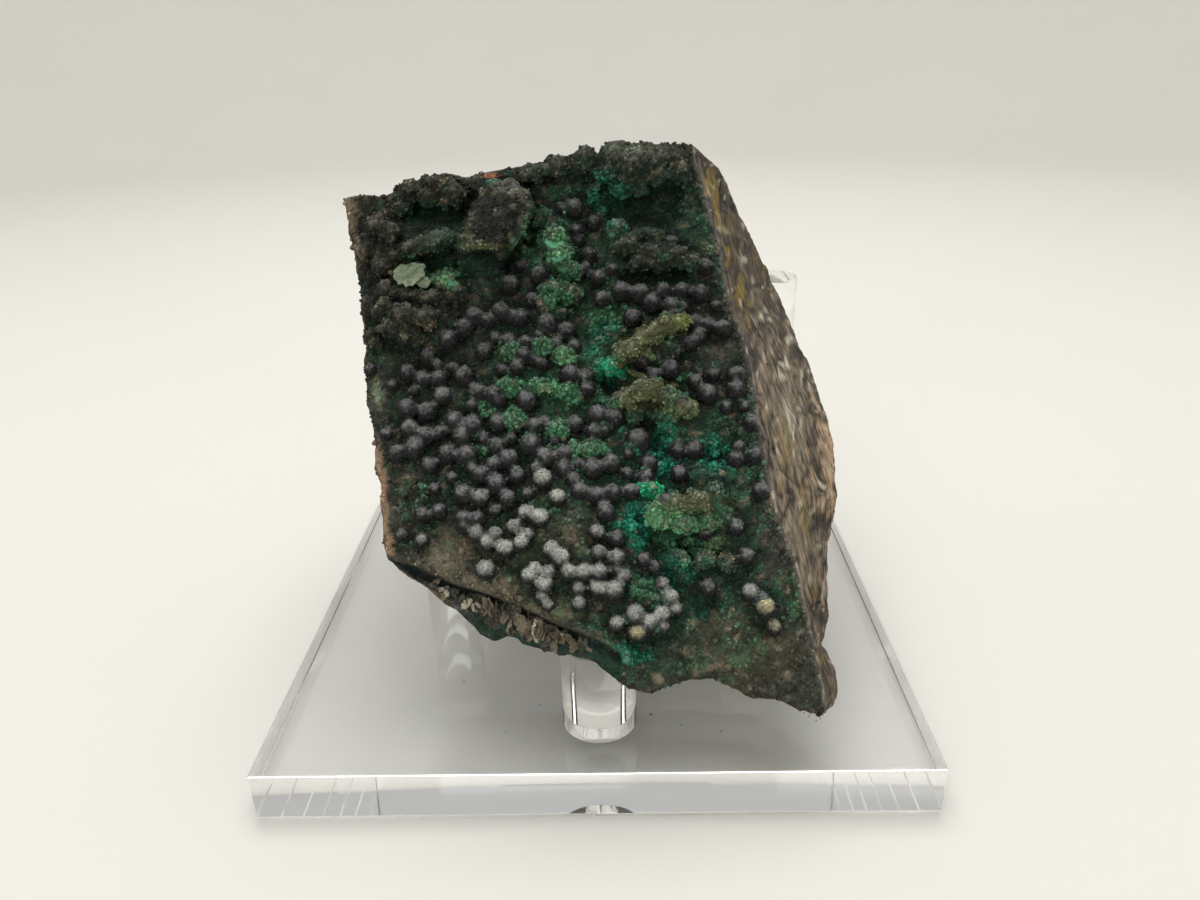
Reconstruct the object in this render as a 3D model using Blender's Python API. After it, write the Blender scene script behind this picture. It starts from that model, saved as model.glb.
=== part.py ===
"""A broken block of mineral matrix with a knobbly crust, resting on a clear plate with three pegs."""

import math

import bmesh
import bpy
from mathutils import Matrix, Vector, noise

MM = 0.001

# Stand, in millimetres
PLATE_SIDE = 101.6
PLATE_THICKNESS = 8.0
PEG_RADIUS = 5.75
PEG_SIDES = 48
FRONT_PEG_X = 0.5
FRONT_PEG_Y = -38.95
FRONT_PEG_TOP = 23.2
BACK_PEG_X = 34.4
BACK_PEG_Y = 28.0
BACK_PEG_TOP = 60.6
GAP = 0.3
SEAT_GAP = 0.6

# Colours and gloss
STONE_COLOUR = (0.055, 0.075, 0.06)
STONE_ROUGHNESS = 0.85
ACRYLIC_COLOUR = (0.93, 0.95, 0.95)
ACRYLIC_ROUGHNESS = 0.03
ACRYLIC_IOR = 1.49

# Leaning face of the specimen: where its frame starts, how steep it stands
FACE_FOOT = Vector((0.0, -46.0, 21.0))
FACE_TILT = math.radians(57.0)

# Point in front of the face from which its outline was read: across, up the face, off the face
SIGHT_U = 3.45
SIGHT_V = 13.1
SIGHT_N = 135.4

# Mesh fineness
GRID_COLUMNS = 100
GRID_ROWS = 120
WELD = 0.002
LUMP_FINENESS = 2
VOXEL = 0.62
DECIMATE_RATIO = 0.068

# Thickness of the block's rim, which grows towards the right side
RIM_THICKNESS = 1.3
RIGHT_RIM_THICKNESS = 2.6
RIM_GROWS_FROM_U = 20
RIM_GROWN_BY_U = 30

# Outline of the block over its face, (across, up the face) in millimetres
TOP_EDGE = (
    (-38, 73.5), (-35, 74), (-32, 73.5), (-28, 75), (-25.5, 76.5), (-22, 77), (-19, 76), (-17, 76.8),
    (-13, 77.3), (-10, 78), (-7, 78.8), (-3, 79.5), (-0.5, 80.5), (1.5, 79.8), (3.5, 81), (9, 81),
    (10, 80.2), (12, 80.8), (15, 81.4), (16.5, 80.9),
)
RIGHT_EDGE = (
    (32, -5.2), (34, -4), (34.7, -2), (34.5, 0.5), (33.5, 3), (32.5, 4.5), (33.3, 6), (33.8, 9), (34, 14),
    (34.3, 19), (35, 22), (35.9, 26), (35.8, 33), (35, 38), (34, 41), (32.5, 46), (31, 50), (30, 53),
    (28.5, 57), (27, 60.5), (25, 65.5), (23, 70), (21.3, 75), (20, 77.5), (16.5, 80.9),
)
BOTTOM_EDGE = (
    (-30, 17.5), (-28, 16), (-25, 14), (-22, 11.8), (-20, 10.3), (-17.5, 8), (-16, 6.3), (-14, 5.5),
    (-12.5, 6.2), (-11, 6), (-10, 5), (-7, 4.3), (-5, 3.5), (-2, 3.2), (0, 2.2), (3, 0), (5, -1.2),
    (8, -1.8), (11, -1), (14, 0), (17, 0), (20, -1.2), (22.5, -2.7), (26, -3), (29, -4.3), (32, -5.2),
)
LEFT_EDGE = (
    (-30, 17.5), (-30.5, 20), (-31, 25), (-31.2, 29), (-32, 31), (-32.2, 35), (-32.7, 38), (-33.5, 41),
    (-34, 47), (-33.7, 51), (-34.7, 56), (-35, 59), (-36, 64), (-37, 69), (-38, 73.5),
)

# Arris between the face and the right side, and arris above the fractured lower left edge
RIGHT_ARRIS = (
    (33, -6), (32, 0), (31.5, 4), (30.5, 9), (29.5, 13), (29, 17), (27.5, 21), (26.2, 25.5), (25.8, 30),
    (25.3, 33), (24.5, 38), (24, 43), (23.8, 46), (22.5, 51), (21.3, 55), (20.5, 58), (20, 63), (19, 68),
    (18, 72), (17, 76), (16, 82),
)
LOWER_ARRIS = (
    (-40, 22), (-29, 18), (-25, 16.5), (-20, 14.2), (-15, 12.5), (-10, 10.5), (-5, 8), (0, 6.3), (4, 4),
)

# Planes that end the block behind: a place on each in millimetres, and its outward direction
BACK_PLANES = (
    ((0, -2, 89.6), (0, 0.662, 0.75)),
    ((0, 22.25, 60.6), (0, 0.512, -0.859)),
    ((-32, 0, 37.8), (-0.986, 0, -0.165)),
    ((-33, 6, 75), (-0.6, 0.5, 0.62)),
    ((26, 12, 77), (0.55, 0.58, 0.60)),
)

# A plane that faces the eye less than this ends nothing; depth and height where there is none
LEAST_FACING = 0.004
NOWHERE = -100.0

# Irregular swells: height, waves per millimetre across and up, layer of the noise
BACK_SWELL = (1.5, 0.09, 0.09, 11.0)
SIDE_SWELL = (0.6, 0.55, 0.16, 3.0)
FACE_SWELL = (0.55, 0.33, 0.33, 0.0)
FACE_GRAIN = (0.30, 0.85, 0.85, 5.0)

# Right side: how far it bulges and between which heights, its least width and least fall
SIDE_BULGE = 2.0
SIDE_BULGE_FROM_V = 10
SIDE_BULGE_TO_V = 70
SIDE_LEAST_WIDTH = 0.5
SIDE_LEAST_FALL = -0.5

# Relief fades towards the arris over this width, down to this share
ARRIS_FADE = 2.0
ARRIS_LEAST_SHARE = 0.35
LOWER_BAND_SLOPE = 0.75

# Share of a lump's size by which its centre stands off the face
KNOB_LIFT = 0.25
BALL_LIFT = 0.22

# Lip that hangs below the underside at the lower right corner
LIP_FROM_U = 3.0
LIP_TO_U = 20.0
LIP_FROM_V = 34.0
LIP_TO_V = 2.0
LIP_DROP = 6.5

# Ridges (height > 0) and hollows (height < 0) of the face: start, end, half width, height
RELIEF = (
    (-4, 8, -4, 18, 20, 3.0),
    (-31, 66, -33, 74, 5, 1.6),
    (-30, 64, -24, 65.5, 2.0, 2.2),
    (-24, 65.5, -17, 67.5, 2.0, 2.4),
    (-28, 71, -20, 70.5, 2.6, -2.4),
    (-24, 62.5, -19, 62, 3.0, -1.8),
    (-28, 54, -24, 53, 5.5, 2.2),
    (-33, 57, -30, 54, 3.0, 1.2),
    (-11, 62, -8, 68, 3.2, -2.6),
    (-1, 52, 1, 74, 4.5, -1.4),
    (3, 78.5, 15, 78, 4.5, 2.4),
    (5, 70.5, 13, 71, 4.0, -3.0),
    (6, 59.6, 14, 59.8, 1.9, -2.4),
    (-8, 78, -2, 78, 3.0, 1.4),
    (-17, 72.6, -10, 75, 2.5, -1.0),
    (7, 37.5, 10, 34.5, 2.4, -2.8),
    (2.2, 44.2, 4.6, 41.8, 2.2, -2.6),
    (11, 33, 19, 32, 3.2, -1.6),
    (10.5, 19.8, 17, 18.8, 2.6, -3.0),
    (7, 22, 9, 18, 2.2, -1.2),
    (12, 13, 16, 10, 4.0, -1.4),
    (1, 15, 9, 9, 6, 1.4),
    (24, 12, 27, 5, 4.5, 1.0),
)

# Knobs fused to the face: centre across, centre up, half sizes across, up and out, turn in degrees
KNOBS = (
    (4.6, 79.6, 3.0, 2.0, 2.6, 10), (8.6, 79.4, 2.6, 1.9, 2.8, 0), (12.6, 79.2, 2.4, 2.0, 2.4, -15),
    (3.6, 76.6, 1.9, 1.6, 2.2, 0), (6.8, 76.8, 2.4, 1.9, 3.0, 25), (10.4, 76.6, 2.2, 1.7, 2.6, 0),
    (13.8, 76.8, 2.0, 1.5, 2.2, 0), (5.6, 74.4, 1.6, 1.2, 2.0, 30), (8.2, 74.6, 1.5, 1.3, 2.0, 0),
    (-0.4, 79.0, 1.9, 1.7, 2.0, 0), (-5.2, 77.9, 2.6, 1.4, 1.8, 10), (-8.8, 76.8, 2.2, 1.3, 1.7, 0),
    (-12.4, 76.3, 1.6, 1.1, 1.4, 0), (-16.8, 75.6, 1.5, 1.0, 1.3, 0),
    (-23.6, 75.4, 3.0, 1.5, 2.2, 5), (-27.8, 74.2, 2.2, 1.4, 2.0, 20), (-20.4, 74.0, 1.8, 1.4, 2.0, -20),
    (-24.6, 73.0, 1.8, 1.1, 1.6, 0), (-21.4, 72.6, 1.7, 1.1, 1.6, 0), (-29.4, 71.6, 1.8, 1.3, 1.7, 0),
    (-32.6, 69.0, 1.7, 1.5, 1.5, 0), (-34.6, 65.6, 1.6, 1.7, 1.4, 0), (-30.6, 67.6, 1.6, 1.2, 1.4, 0),
    (-26.8, 65.4, 2.4, 1.2, 1.7, 12), (-22.6, 66.6, 2.4, 1.1, 1.8, 18), (-31.8, 62.6, 1.5, 1.7, 1.5, 0),
    (-31.0, 58.2, 1.6, 1.4, 1.7, 0), (-28.0, 57.6, 1.6, 1.1, 1.6, 0), (-24.5, 57.0, 1.7, 1.3, 2.0, 0),
    (-20.4, 57.6, 1.7, 1.2, 1.7, 0), (-22.4, 59.0, 1.6, 0.9, 1.3, 0), (-31.6, 55.4, 1.7, 1.5, 1.8, 0),
    (-28.4, 54.6, 1.9, 1.5, 2.2, 0), (-25.0, 54.0, 1.8, 1.5, 2.2, 0), (-30.4, 52.4, 1.8, 1.4, 1.9, 0),
    (-27.4, 51.4, 1.8, 1.4, 2.0, 0), (-33.0, 51.0, 1.4, 1.5, 1.3, 0),
    (4.4, 67.2, 1.4, 1.5, 1.8, 0), (7.6, 66.4, 2.6, 1.0, 1.8, 8), (10.6, 65.9, 1.8, 1.1, 1.9, -12),
    (5.6, 64.6, 2.5, 0.9, 1.8, 6), (9.6, 63.8, 2.6, 1.2, 2.2, 0), (13.0, 63.2, 2.4, 1.2, 2.2, -10),
    (7.6, 61.9, 1.6, 1.0, 1.8, 30), (10.6, 61.7, 1.5, 1.0, 1.8, -25), (15.2, 62.2, 1.6, 1.2, 1.6, 0),
    (12.4, 52.6, 3.0, 1.2, 2.0, 14), (8.8, 50.6, 2.8, 1.1, 1.9, 26), (5.6, 48.4, 2.4, 1.1, 1.9, 38),
    (3.4, 46.0, 1.5, 0.9, 1.6, 0), (8.6, 47.6, 1.9, 1.1, 1.7, -20), (12.2, 48.4, 1.5, 1.1, 1.5, 0),
    (8.2, 42.4, 2.0, 1.5, 2.4, 0), (5.0, 41.0, 2.4, 1.0, 1.8, 22), (11.4, 41.2, 2.4, 1.1, 2.0, -22),
    (14.4, 39.4, 1.9, 1.1, 1.8, -30), (6.2, 38.4, 1.1, 1.8, 1.6, 12), (11.8, 38.6, 1.5, 0.9, 1.5, 0),
    (8.6, 27.2, 1.6, 1.0, 1.6, 0), (9.8, 23.6, 2.1, 2.1, 1.2, 0), (12.4, 25.0, 1.9, 1.3, 2.2, 0),
    (15.6, 25.6, 1.8, 1.5, 2.0, 0), (18.2, 26.8, 1.4, 1.2, 1.6, 0), (13.4, 22.2, 2.0, 1.1, 2.4, -8),
    (16.6, 22.6, 1.9, 1.3, 2.3, -10), (19.2, 22.8, 1.4, 1.6, 1.7, 0), (18.0, 19.4, 1.4, 1.5, 1.6, 0),
    (-6.8, 69.2, 1.7, 1.2, 1.6, -35), (-5.0, 66.4, 1.8, 1.4, 1.8, -40), (-4.4, 63.4, 1.6, 1.4, 1.7, 0),
    (-2.6, 61.0, 1.2, 1.1, 1.4, 0), (-5.2, 58.0, 1.9, 1.2, 1.7, 0), (-2.6, 57.4, 1.3, 1.1, 1.4, 0),
    (-6.4, 55.8, 1.2, 1.0, 1.3, 0), (-12.2, 48.6, 1.5, 1.1, 1.5, 0), (-7.2, 49.0, 1.5, 1.0, 1.4, 0),
    (-3.6, 47.6, 1.6, 1.1, 1.5, 0), (-12.0, 43.2, 1.7, 1.1, 1.5, 0), (-8.0, 42.6, 2.2, 1.0, 1.4, 0),
    (-3.4, 42.0, 1.6, 1.0, 1.4, 0), (-11.4, 37.8, 1.5, 1.2, 1.4, 0), (-4.8, 36.6, 1.6, 1.2, 1.5, 0),
    (-27.5, 60.8, 2.6, 1.9, 1.0, 8), (-22.4, 60.2, 1.6, 1.1, 1.1, 0), (-0.6, 33.4, 3.2, 1.0, 1.4, 0),
)

# Dark balls of the crust that are big enough for the solid: centre across, centre up, width
BALLS = (
    (-2.2, 71, 3.0), (0.8, 68.6, 2.4), (0, 63.5, 2.5), (1.5, 59.8, 2.6), (-0.5, 61.2, 2.3), (-7.7, 60.5, 2.7),
    (-12, 59, 2.8), (-8.7, 56.5, 2.4), (2, 56.4, 2.6), (5, 57.6, 3.0), (7.8, 57.2, 3.0), (11.3, 57.5, 2.6),
    (14.2, 57.5, 2.6), (17, 57, 2.6), (9.5, 55.5, 3.0), (12.5, 55, 2.8), (6.5, 53.4, 2.8), (16, 52.5, 2.4),
    (20.2, 51.5, 2.6), (16.5, 50.3, 2.4), (17.8, 61.3, 2.5), (-17.5, 54, 3.0), (-19, 52.2, 2.8),
    (-21.5, 50.5, 2.8), (-13.5, 54.8, 2.8), (-10.5, 53.7, 2.6), (-6.5, 52.5, 3.3), (-3.5, 51.5, 2.8),
    (-16, 48.6, 2.5), (-10, 47.8, 2.4), (-24.5, 47.8, 2.5), (-27.5, 45.5, 2.7), (-25.2, 44.4, 2.6),
    (-22.8, 44.4, 2.6), (-19, 44.8, 3.0), (-22.2, 41.8, 2.8), (-17.0, 42.3, 2.8), (-14.6, 42, 2.6),
    (-9.5, 40.8, 3.2), (-27.5, 40, 3.0), (-24.5, 39.5, 2.8), (-3, 44.8, 3.0), (-0.7, 44.2, 2.6),
    (-27, 36.8, 3.0), (-24.6, 35.9, 2.8), (-20.4, 37.8, 3.2), (-17.6, 37.2, 3.2), (-19.2, 35.6, 3.0),
    (-14, 37.5, 2.6), (-28.8, 33.2, 2.6), (-26.4, 33.8, 3.0), (-24, 31.3, 2.5), (-21.4, 33, 2.9),
    (-18.5, 32.6, 3.1), (-14, 34, 2.6), (-14.5, 31.2, 2.5), (-12.2, 32, 3.0), (-9, 34.2, 3.2),
    (-6.8, 32.2, 3.0), (-4, 32.5, 3.0), (-16.5, 29.8, 2.5), (-11, 29.6, 2.6), (-14, 28.3, 3.0),
    (-19, 27, 3.0), (-16.4, 26.3, 2.7), (-12.3, 26.2, 2.6), (-22.5, 24.5, 2.4), (-18.9, 23.4, 2.4),
    (-16.8, 23.3, 2.4), (-17, 21, 2.4), (1, 38.5, 3.0), (3.5, 38, 3.0), (-2.3, 37.2, 2.6), (0.6, 36, 2.6),
    (-8.5, 37, 2.5), (0.3, 30.5, 3.0), (3, 31.2, 2.8), (-4, 30.4, 2.5), (-7.2, 29, 3.0), (-1.6, 27.2, 2.6),
    (0.6, 26.5, 2.6), (3, 26.8, 2.7), (5.8, 27, 2.5), (2, 24, 2.6), (-5, 26.2, 2.5), (22, 44.2, 2.8),
    (21.8, 42, 3.0), (17.5, 41.5, 3.0), (12, 45.3, 3.0), (24, 37, 2.5), (24.3, 32, 2.5), (21.4, 31.6, 2.5),
    (25.0, 26.8, 2.5), (12.9, 33, 2.7), (15.3, 33, 2.7), (7, 34.5, 3.6), (8.5, 31, 2.6), (13, 29.5, 2.5),
    (8, 28.9, 2.4), (21, 21.5, 2.5), (22.5, 17.2, 2.5), (-7.6, 23.2, 2.8), (-9.8, 24, 2.4),
    (-12.7, 18.8, 2.7), (-10.4, 19.6, 2.4), (-15.3, 19.6, 2.2), (-11.5, 22, 2.3), (-14.2, 21, 2.2),
    (-6, 18.6, 2.5), (-4.6, 17.4, 2.6), (-15.6, 15.8, 2.8), (-9.2, 14.8, 2.5), (-7, 13.4, 2.6),
    (-6.3, 15.3, 2.2), (-3.4, 15.2, 2.4), (-1.2, 15.2, 2.4), (1, 15.2, 2.4), (0.8, 13, 2.6), (3, 12.5, 3.0),
    (4.5, 14.6, 2.4), (1, 18, 2.4), (3.5, 17.2, 2.6), (3.5, 20, 2.6), (0.8, 21, 2.2), (6.1, 9, 3.0),
    (8.1, 7.8, 2.5), (10, 9, 2.4), (6.3, 6.5, 2.6), (11.4, 11.4, 2.4), (16.5, 21, 2.5), (16.7, 12.8, 2.6),
    (22.8, 12, 2.6), (24.9, 9.8, 2.8), (26, 7, 2.2),
)

# Corners of the big stub of a prism crystal near the top left: across, up, off the face
PRISM = (
    (-20.2, 65.3, 3.8), (-18.0, 64.9, 4.8), (-13.4, 65.6, 5.4), (-11.4, 66.6, 3.6), (-15.9, 74.8, 3.2),
    (-12.8, 75.3, 3.9), (-9.2, 73.6, 3.5), (-9.6, 72.0, 2.0), (-20.4, 66.0, -2.0), (-16.0, 75.0, -2.0),
    (-9.0, 74.0, -2.0), (-10.5, 66.0, -2.0), (-19.6, 60.4, -1.0), (-13.6, 60.2, -1.5),
)


def face_point(u, v, n):
    """The point in metres that lies n mm off the face and is sighted over (u, v) of the face."""
    spread = (SIGHT_N - n) / SIGHT_N
    across = SIGHT_U + (u - SIGHT_U) * spread
    up = SIGHT_V + (v - SIGHT_V) * spread
    up_axis = Vector((0.0, math.cos(FACE_TILT), math.sin(FACE_TILT)))
    out_axis = Vector((0.0, -math.sin(FACE_TILT), math.cos(FACE_TILT)))
    return (FACE_FOOT + Vector((across, 0.0, 0.0)) + up_axis * up + out_axis * n) * MM


def face_matrix():
    """Turns a shape made flat on the ground so that it stands on the face."""
    return Matrix.Rotation(FACE_TILT, 4, "X")


def swell(u, v, wave):
    """Height of an irregular swell at (u, v)."""
    height, across, up, layer = wave
    return height * noise.noise(Vector((u * across, v * up, layer)))


def along(points, share):
    """The point at this share of a path's length."""
    lengths = [math.dist(a, b) for a, b in zip(points, points[1:])]
    left = share * sum(lengths)
    for a, b, length in zip(points, points[1:], lengths):
        if left <= length:
            part = left / length
            return a[0] + (b[0] - a[0]) * part, a[1] + (b[1] - a[1]) * part
        left -= length
    return points[-1]


def across_at(path, v):
    """Where a path that runs up the face stands at height v."""
    for (u1, v1), (u2, v2) in zip(path, path[1:]):
        if min(v1, v2) <= v <= max(v1, v2) and v1 != v2:
            return u1 + (u2 - u1) * (v - v1) / (v2 - v1)
    return path[0][0] if v < path[0][1] else path[-1][0]


def up_at(path, u):
    """How high a path that runs across the face stands at u."""
    for (u1, v1), (u2, v2) in zip(path, path[1:]):
        if u1 <= u <= u2:
            return v1 + (v2 - v1) * (u - u1) / (u2 - u1)
    return NOWHERE


def sheet_position(s, t):
    """Spreads a unit square over the outline of the face."""
    top = along(TOP_EDGE, s)
    bottom = along(BOTTOM_EDGE, s)
    left = along(LEFT_EDGE, t)
    right = along(RIGHT_EDGE, t)
    corners = (BOTTOM_EDGE[0], BOTTOM_EDGE[-1], TOP_EDGE[0], TOP_EDGE[-1])
    place = []
    for axis in (0, 1):
        ruled = (1 - t) * bottom[axis] + t * top[axis] + (1 - s) * left[axis] + s * right[axis]
        near = (1 - s) * corners[0][axis] + s * corners[1][axis]
        far = (1 - s) * corners[2][axis] + s * corners[3][axis]
        place.append(ruled - (1 - t) * near - t * far)
    return place


def plane_depth(place, outward, u, v):
    """How far off the face the sight line over (u, v) meets a plane."""
    eye = face_point(SIGHT_U, SIGHT_V, SIGHT_N)
    near = face_point(u, v, 0.0)
    outward = Vector(outward)
    facing = outward.dot(near - eye)
    if facing < LEAST_FACING:
        return NOWHERE
    return SIGHT_N * (1 - outward.dot(Vector(place) * MM - eye) / facing)


def ramp(value, low, high):
    """0 at low, 1 at high, smooth between."""
    share = min(1.0, max(0.0, (value - low) / (high - low)))
    return share * share * (3 - 2 * share)


def back_height(u, v):
    """Depth of the hidden side of the block under (u, v)."""
    height = max(plane_depth(place, outward, u, v) for place, outward in BACK_PLANES)
    height -= LIP_DROP * ramp(u, LIP_FROM_U, LIP_TO_U) * ramp(v, LIP_FROM_V, LIP_TO_V)
    return height + swell(u, v, BACK_SWELL)


def bump(u, v, row):
    """Height that one ridge or hollow adds at (u, v)."""
    u1, v1, u2, v2, width, height = row
    du, dv = u2 - u1, v2 - v1
    part = ((u - u1) * du + (v - v1) * dv) / (du * du + dv * dv or 1.0)
    part = min(1.0, max(0.0, part))
    away = math.hypot(u - u1 - du * part, v - v1 - dv * part) / width
    return height * (1 - away * away) ** 2 if away < 1 else 0.0


def side_height(u, v, arris):
    """Height of the side to the right of the arris, which falls back from the face."""
    rim = max(across_at(RIGHT_EDGE, v), arris + SIDE_LEAST_WIDTH)
    share = min(1.0, (u - arris) / (rim - arris))
    fall = min(back_height(rim, v) + RIGHT_RIM_THICKNESS, SIDE_LEAST_FALL)
    bulge = SIDE_BULGE * math.sin(math.pi * share) if SIDE_BULGE_FROM_V < v < SIDE_BULGE_TO_V else 0.0
    return share * fall + bulge + swell(u, v, SIDE_SWELL)


def front_height(u, v):
    """Height of the seen surface off the face plane: crusted face, right side, fractured lower edge."""
    arris = across_at(RIGHT_ARRIS, v)
    if u > arris:
        return side_height(u, v, arris)
    height = sum(bump(u, v, row) for row in RELIEF) + swell(u, v, FACE_SWELL) + swell(u, v, FACE_GRAIN)
    height *= min(1.0, (arris - u) / ARRIS_FADE + ARRIS_LEAST_SHARE)
    below = up_at(LOWER_ARRIS, u) - v
    if below > 0:
        height -= LOWER_BAND_SLOPE * below
    return height


def lay_sheet(bm, height_of):
    """Spreads a fine grid over the outline at the heights that height_of gives."""
    made = bmesh.ops.create_grid(bm, x_segments=GRID_COLUMNS, y_segments=GRID_ROWS, size=1.0)
    for vert in made["verts"]:
        u, v = sheet_position((vert.co.x + 1) / 2, (vert.co.y + 1) / 2)
        vert.co = (u, v, height_of(u, v))
    return made["verts"]


def hidden_height(u, v):
    """The hidden side, kept at least a rim's thickness behind the seen one."""
    grown = ramp(u, RIM_GROWS_FROM_U, RIM_GROWN_BY_U)
    rim = RIM_THICKNESS + (RIGHT_RIM_THICKNESS - RIM_THICKNESS) * grown
    return min(back_height(u, v), front_height(u, v) - rim)


def block_mesh():
    """The block: a seen sheet and a hidden sheet with walls between their rims."""
    bm = bmesh.new()
    lay_sheet(bm, front_height)
    rim = [edge for edge in bm.edges if edge.is_boundary]
    walls = bmesh.ops.extrude_edge_only(bm, edges=rim)["geom"]
    for vert in (item for item in walls if isinstance(item, bmesh.types.BMVert)):
        vert.co.z = hidden_height(vert.co.x, vert.co.y)
    lay_sheet(bm, hidden_height)
    bmesh.ops.remove_doubles(bm, verts=bm.verts, dist=WELD)
    for vert in bm.verts:
        vert.co = face_point(*vert.co)
    bmesh.ops.recalc_face_normals(bm, faces=bm.faces)
    return bm


def add_knobs(bm):
    """Fuses the knobs, as flattened balls that reach into the face."""
    for u, v, half_u, half_v, half_n, turn in KNOBS:
        centre = face_point(u, v, front_height(u, v) + KNOB_LIFT * half_n)
        size = Matrix.Diagonal((half_u * MM, half_v * MM, half_n * MM, 1.0))
        spin = Matrix.Rotation(math.radians(turn), 4, "Z")
        place = Matrix.Translation(centre) @ face_matrix() @ spin @ size
        bmesh.ops.create_icosphere(bm, subdivisions=LUMP_FINENESS, radius=1.0, matrix=place)


def add_balls(bm):
    """Fuses the balls, sunk a little into the face."""
    for u, v, width in BALLS:
        centre = face_point(u, v, front_height(u, v) + BALL_LIFT * width)
        place = Matrix.Translation(centre) @ Matrix.Scale(width / 2 * MM, 4)
        bmesh.ops.create_icosphere(bm, subdivisions=LUMP_FINENESS, radius=1.0, matrix=place)


def add_prism(bm):
    """Fuses the prism crystal, a blocky stub whose lower edge stands proud."""
    corners = [bm.verts.new(face_point(*corner)) for corner in PRISM]
    made = bmesh.ops.convex_hull(bm, input=corners)
    loose = [item for item in made["geom_interior"] if isinstance(item, bmesh.types.BMVert)]
    bmesh.ops.delete(bm, geom=loose, context="VERTS")


def clear_scene():
    """Removes the startup objects."""
    for obj in list(bpy.data.objects):
        bpy.data.objects.remove(obj, do_unlink=True)


def add_object(name, bm, material):
    """Turns the built geometry into a named object with its own material."""
    mesh = bpy.data.meshes.new(name)
    bm.to_mesh(mesh)
    bm.free()
    mesh.materials.append(material)
    obj = bpy.data.objects.new(name, mesh)
    bpy.context.scene.collection.objects.link(obj)
    return obj


def plain_material(name, colour, roughness, transmission=0.0):
    """A material of one colour and one gloss."""
    material = bpy.data.materials.new(name)
    material.use_nodes = True
    shader = material.node_tree.nodes["Principled BSDF"]
    shader.inputs["Base Color"].default_value = (*colour, 1.0)
    shader.inputs["Roughness"].default_value = roughness
    shader.inputs["Metallic"].default_value = 0.0
    shader.inputs["IOR"].default_value = ACRYLIC_IOR
    shader.inputs["Transmission Weight"].default_value = transmission
    return material


def clear_plastic(name):
    """Clear acrylic."""
    return plain_material(name, ACRYLIC_COLOUR, ACRYLIC_ROUGHNESS, transmission=1.0)


def cylinder(radius, bottom, top, x, y):
    """A closed upright cylinder, in millimetres."""
    bm = bmesh.new()
    place = Matrix.Translation(Vector((x, y, (bottom + top) / 2)) * MM)
    bmesh.ops.create_cone(
        bm, cap_ends=True, cap_tris=False, segments=PEG_SIDES, radius1=radius * MM, radius2=radius * MM,
        depth=(top - bottom) * MM, matrix=place,
    )
    return bm


def make_plate():
    """The square plate that everything stands on."""
    bm = bmesh.new()
    size = Matrix.Diagonal((PLATE_SIDE * MM, PLATE_SIDE * MM, PLATE_THICKNESS * MM, 1.0))
    place = Matrix.Translation((0.0, 0.0, PLATE_THICKNESS / 2 * MM))
    bmesh.ops.create_cube(bm, size=1.0, matrix=place @ size)
    return add_object("base_plate", bm, clear_plastic("base_plate clear"))


def make_pegs():
    """The three pegs as (name, x, y, top); each stands a hair above the plate."""
    pegs = (
        ("front_peg", FRONT_PEG_X, FRONT_PEG_Y, FRONT_PEG_TOP),
        ("back_peg_left", -BACK_PEG_X, BACK_PEG_Y, BACK_PEG_TOP),
        ("back_peg_right", BACK_PEG_X, BACK_PEG_Y, BACK_PEG_TOP),
    )
    for name, x, y, top in pegs:
        shape = cylinder(PEG_RADIUS, PLATE_THICKNESS + GAP, top, x, y)
        add_object(name, shape, clear_plastic(name + " clear"))
    return pegs


def cut_seats(block, pegs):
    """Cuts a little more than each peg out of the block, so that it rests without touching."""
    for name, x, y, top in pegs:
        shape = cylinder(PEG_RADIUS + SEAT_GAP, PLATE_THICKNESS, top + SEAT_GAP, x, y)
        cutter = add_object(name + "_seat", shape, block.data.materials[0])
        cutter.hide_render = True
        cutter.display_type = "WIRE"
        cut = block.modifiers.new("Seat " + name, "BOOLEAN")
        cut.operation = "DIFFERENCE"
        cut.solver = "EXACT"
        cut.object = cutter


def seated_block(material, pegs):
    """The block with its seats cut, as plain geometry again."""
    block = add_object("block", block_mesh(), material)
    cut_seats(block, pegs)
    bpy.context.view_layer.update()
    graph = bpy.context.evaluated_depsgraph_get()
    bm = bmesh.new()
    bm.from_mesh(bpy.data.meshes.new_from_object(block.evaluated_get(graph)))
    bpy.data.objects.remove(block, do_unlink=True)
    return bm


def make_specimen(pegs):
    """The mineral block, its lumps and its seats fused into one skin."""
    material = plain_material("specimen crust", STONE_COLOUR, STONE_ROUGHNESS)
    bm = seated_block(material, pegs)
    add_knobs(bm)
    add_balls(bm)
    add_prism(bm)
    obj = add_object("specimen", bm, material)
    fuse = obj.modifiers.new("Fuse", "REMESH")
    fuse.mode = "VOXEL"
    fuse.voxel_size = VOXEL * MM
    fuse.adaptivity = 0.0
    thin = obj.modifiers.new("Thin", "DECIMATE")
    thin.ratio = DECIMATE_RATIO
    return obj


def main():
    """Builds the plate, its pegs and the specimen that rests on them."""
    clear_scene()
    make_plate()
    pegs = make_pegs()
    make_specimen(pegs)


main()
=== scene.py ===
"""A broken block of dark mineral crust on its clear three-peg stand, in a plain pale studio."""

import logging
import math
from dataclasses import dataclass
from enum import Enum
from functools import lru_cache

import bmesh
import bpy
import numpy as np
from mathutils import Matrix, Vector, kdtree, noise


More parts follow.
